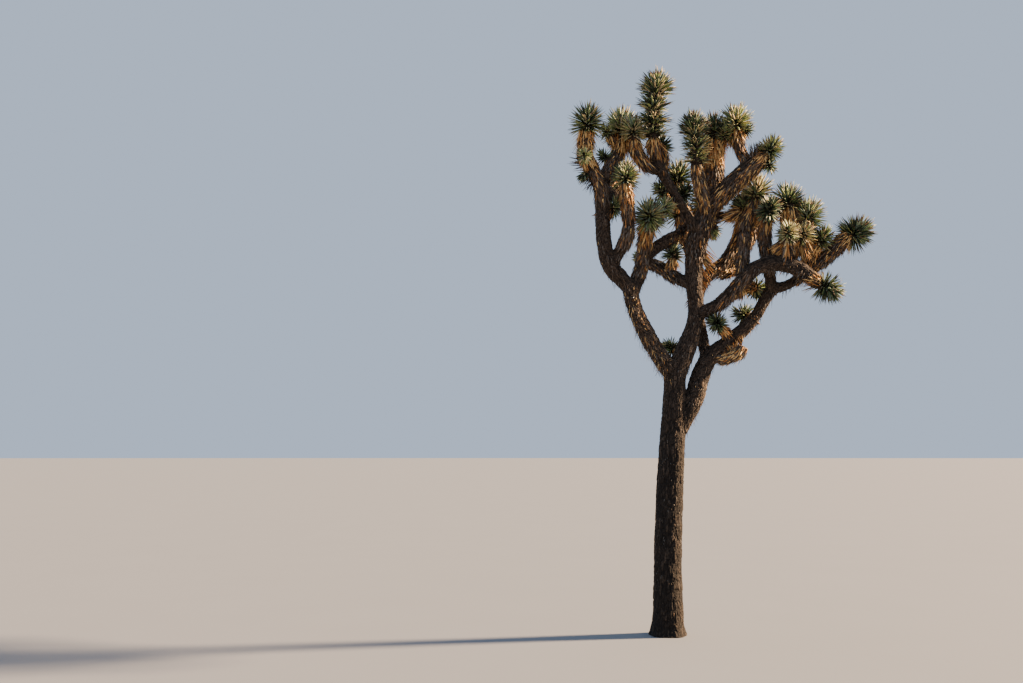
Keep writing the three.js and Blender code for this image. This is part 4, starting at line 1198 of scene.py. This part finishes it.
def bunchBlades(name, share, count, aim, reach, seed, shares):
    rng = np.random.default_rng(seed)
    stem, radii = stems[name]["stem"], stems[name]["radii"]
    distance = share * stem.length + rng.normal(0, bunchLeaf["spread"], count)
    distance = np.clip(distance, 0, stem.length)
    spots, axes = stem.at(distance)
    aims = unit(np.array(aim) + rng.normal(0, bunchLeaf["stray"], (count, 3)))
    root = spots + aims * (np.interp(distance, stem.along, radii) * bunchLeaf["foot"])[:, None]
    length = reach * rng.uniform(bunchLeaf["shortest"], bunchLeaf["longest"], count)
    tip = root + aims * length[:, None]
    middle = (root + tip) / 2 + rng.normal(0, bunchLeaf["bend"], (count, 3))
    return deadLeavesFrom(rng, bunchLeaf, np.tile(shares, (count, 1)), root, middle, tip, axes)


def deadBladesOf(own):
    # the sleeve and the skirt of every head
    dead = []
    for index, head in own:
        stem, size = head["stem"], head["size"]
        top = stem.length - rosette["budLength"] - rosette["leafyStretch"] * size - head["column"]
        foot = max(top - head["sleeve"], 0.0)
        shares = paintedSunlit if head["key"] in paintedSunlitHeads else None
        dead.append(sleeveBlades(stem, head["radii"], foot, top, seeds["sleeve"] + index,
                                 0.55 + 0.45 * size, shares=shares))
        dead.append(skirtBlades(head, seeds["skirt"] + index))
    return dead


def thatchOf(nodes):
    # all that stands or hangs on the trunk and limbs
    thatch = []
    for index, (name, part) in enumerate(stems.items()):
        if part["node"] != name or name not in nodes:
            continue
        stem, radii = part["stem"], part["radii"]
        if name in clad:
            start, end, density, under = clad[name]
            thatch.append(sleeveBlades(stem, radii, start * stem.length, end * stem.length,
                                       seeds["clad"] + index, sleeveLeaf["onLimb"], density,
                                       cladShares.get(name, onLimb), under))
        if name == "trunk":
            thatch.append(shredBlades(stem, radii, seeds["shred"] + index, shred["onTrunk"], onTrunkBark))
        elif name != "dead_stub":
            if name in shred["many"]:
                # the left bough's extra fibres are half painted sunlight
                thatch.append(shredBlades(stem, radii, seeds["moreShreds"] + index, shred["manyShare"],
                                          (paintedSunlit + onLimb) / 2))
            density = shred["fewShare"] if name in shred["few"] else 1.0
            thatch.append(shredBlades(stem, radii, seeds["shred"] + index, density))
    for bunches, seed, shares in ((spikes, seeds["spike"], onSpikes), (tufts, seeds["tuft"], nearHead)):
        for index, bunch in enumerate(bunches):
            if stems[bunch[0]]["node"] in nodes:
                thatch.append(bunchBlades(*bunch, seed + index, shares))
    return thatch


def dress(label, blades, tints, nodes):
    # one piece of leaves, left out where nothing grows
    blades = [b for b in blades if b]
    if not blades:
        return
    piece = bladeMesh(label, blades, tints)
    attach(piece, "root")
    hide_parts(*nodes)


for region, nodes in regions.items():
    own = [(index, head) for index, head in enumerate(heads) if head["node"] in nodes]
    masses = sorted({head["node"] for index, head in own})
    woody = [node for node in nodes if node in stems]
    if own:
        green = [greenBlades(head, seeds["green"] + index) for index, head in own]
        dress("greenLeaves" + region, green, greenTints, masses)
        dress("deadLeaves" + region, deadBladesOf(own), deadTints, masses)
    if woody:
        dress("thatch" + region, thatchOf(nodes), deadTints, woody)


# floor, light and camera

studio = {
    "floor": colour("74787f"), "floorRadius": 1500, "floorPatches": 0.94,
    "sky": colour("c8daf3"), "skyStrength": 0.87,
    "sun": 28.0, "sunColour": (1.0, 0.68, 0.4), "sunTurn": 100, "sunTilt": 62, "sunSize": 6,
}

bpy.ops.mesh.primitive_circle_add(vertices=128, radius=studio["floorRadius"], fill_type="NGON",
                                  location=(0, 0, 0))
floor = bpy.context.object
floor.name = "floor"
material, surface, start = newMaterial("floorPaint")
where = start.add("ShaderNodeTexCoord", out=3)
cloud = start.add("ShaderNodeTexNoise", {}, {"Vector": where, "Scale": 0.8, "Detail": 3.0})
patch = tuple(c * studio["floorPatches"] for c in studio["floor"][:3]) + (1.0,)
join(cloud.blended(studio["floor"], patch), surface, "Base Color")
surface.inputs["Roughness"].default_value = 0.9
floor.data.materials.append(material)

world = bpy.data.worlds.new("studio")
bpy.context.scene.world = world
world.use_nodes = True
backdrop = world.node_tree.nodes["Background"]
backdrop.inputs["Color"].default_value = studio["sky"]
backdrop.inputs["Strength"].default_value = studio["skyStrength"]

bpy.ops.object.light_add(type="SUN", location=(6, 3, 6))
sun = bpy.context.object
sun.name = "lowSun"
sun.rotation_euler = (math.radians(studio["sunTilt"]), 0, math.radians(studio["sunTurn"]))
sun.data.energy = studio["sun"]
sun.data.angle = math.radians(studio["sunSize"])
sun.data.color = studio["sunColour"]

camera = {"lens": 35, "sensor": 36, "pitch": 6.62, "clipEnd": 4000}
bpy.ops.object.camera_add(location=tuple(eyePoint), rotation=(math.radians(90 + camera["pitch"]), 0, 0))
eye = bpy.context.object
eye.data.lens = camera["lens"]
eye.data.sensor_width = camera["sensor"]
eye.data.clip_end = camera["clipEnd"]
bpy.context.scene.camera = eye
print("stage set")
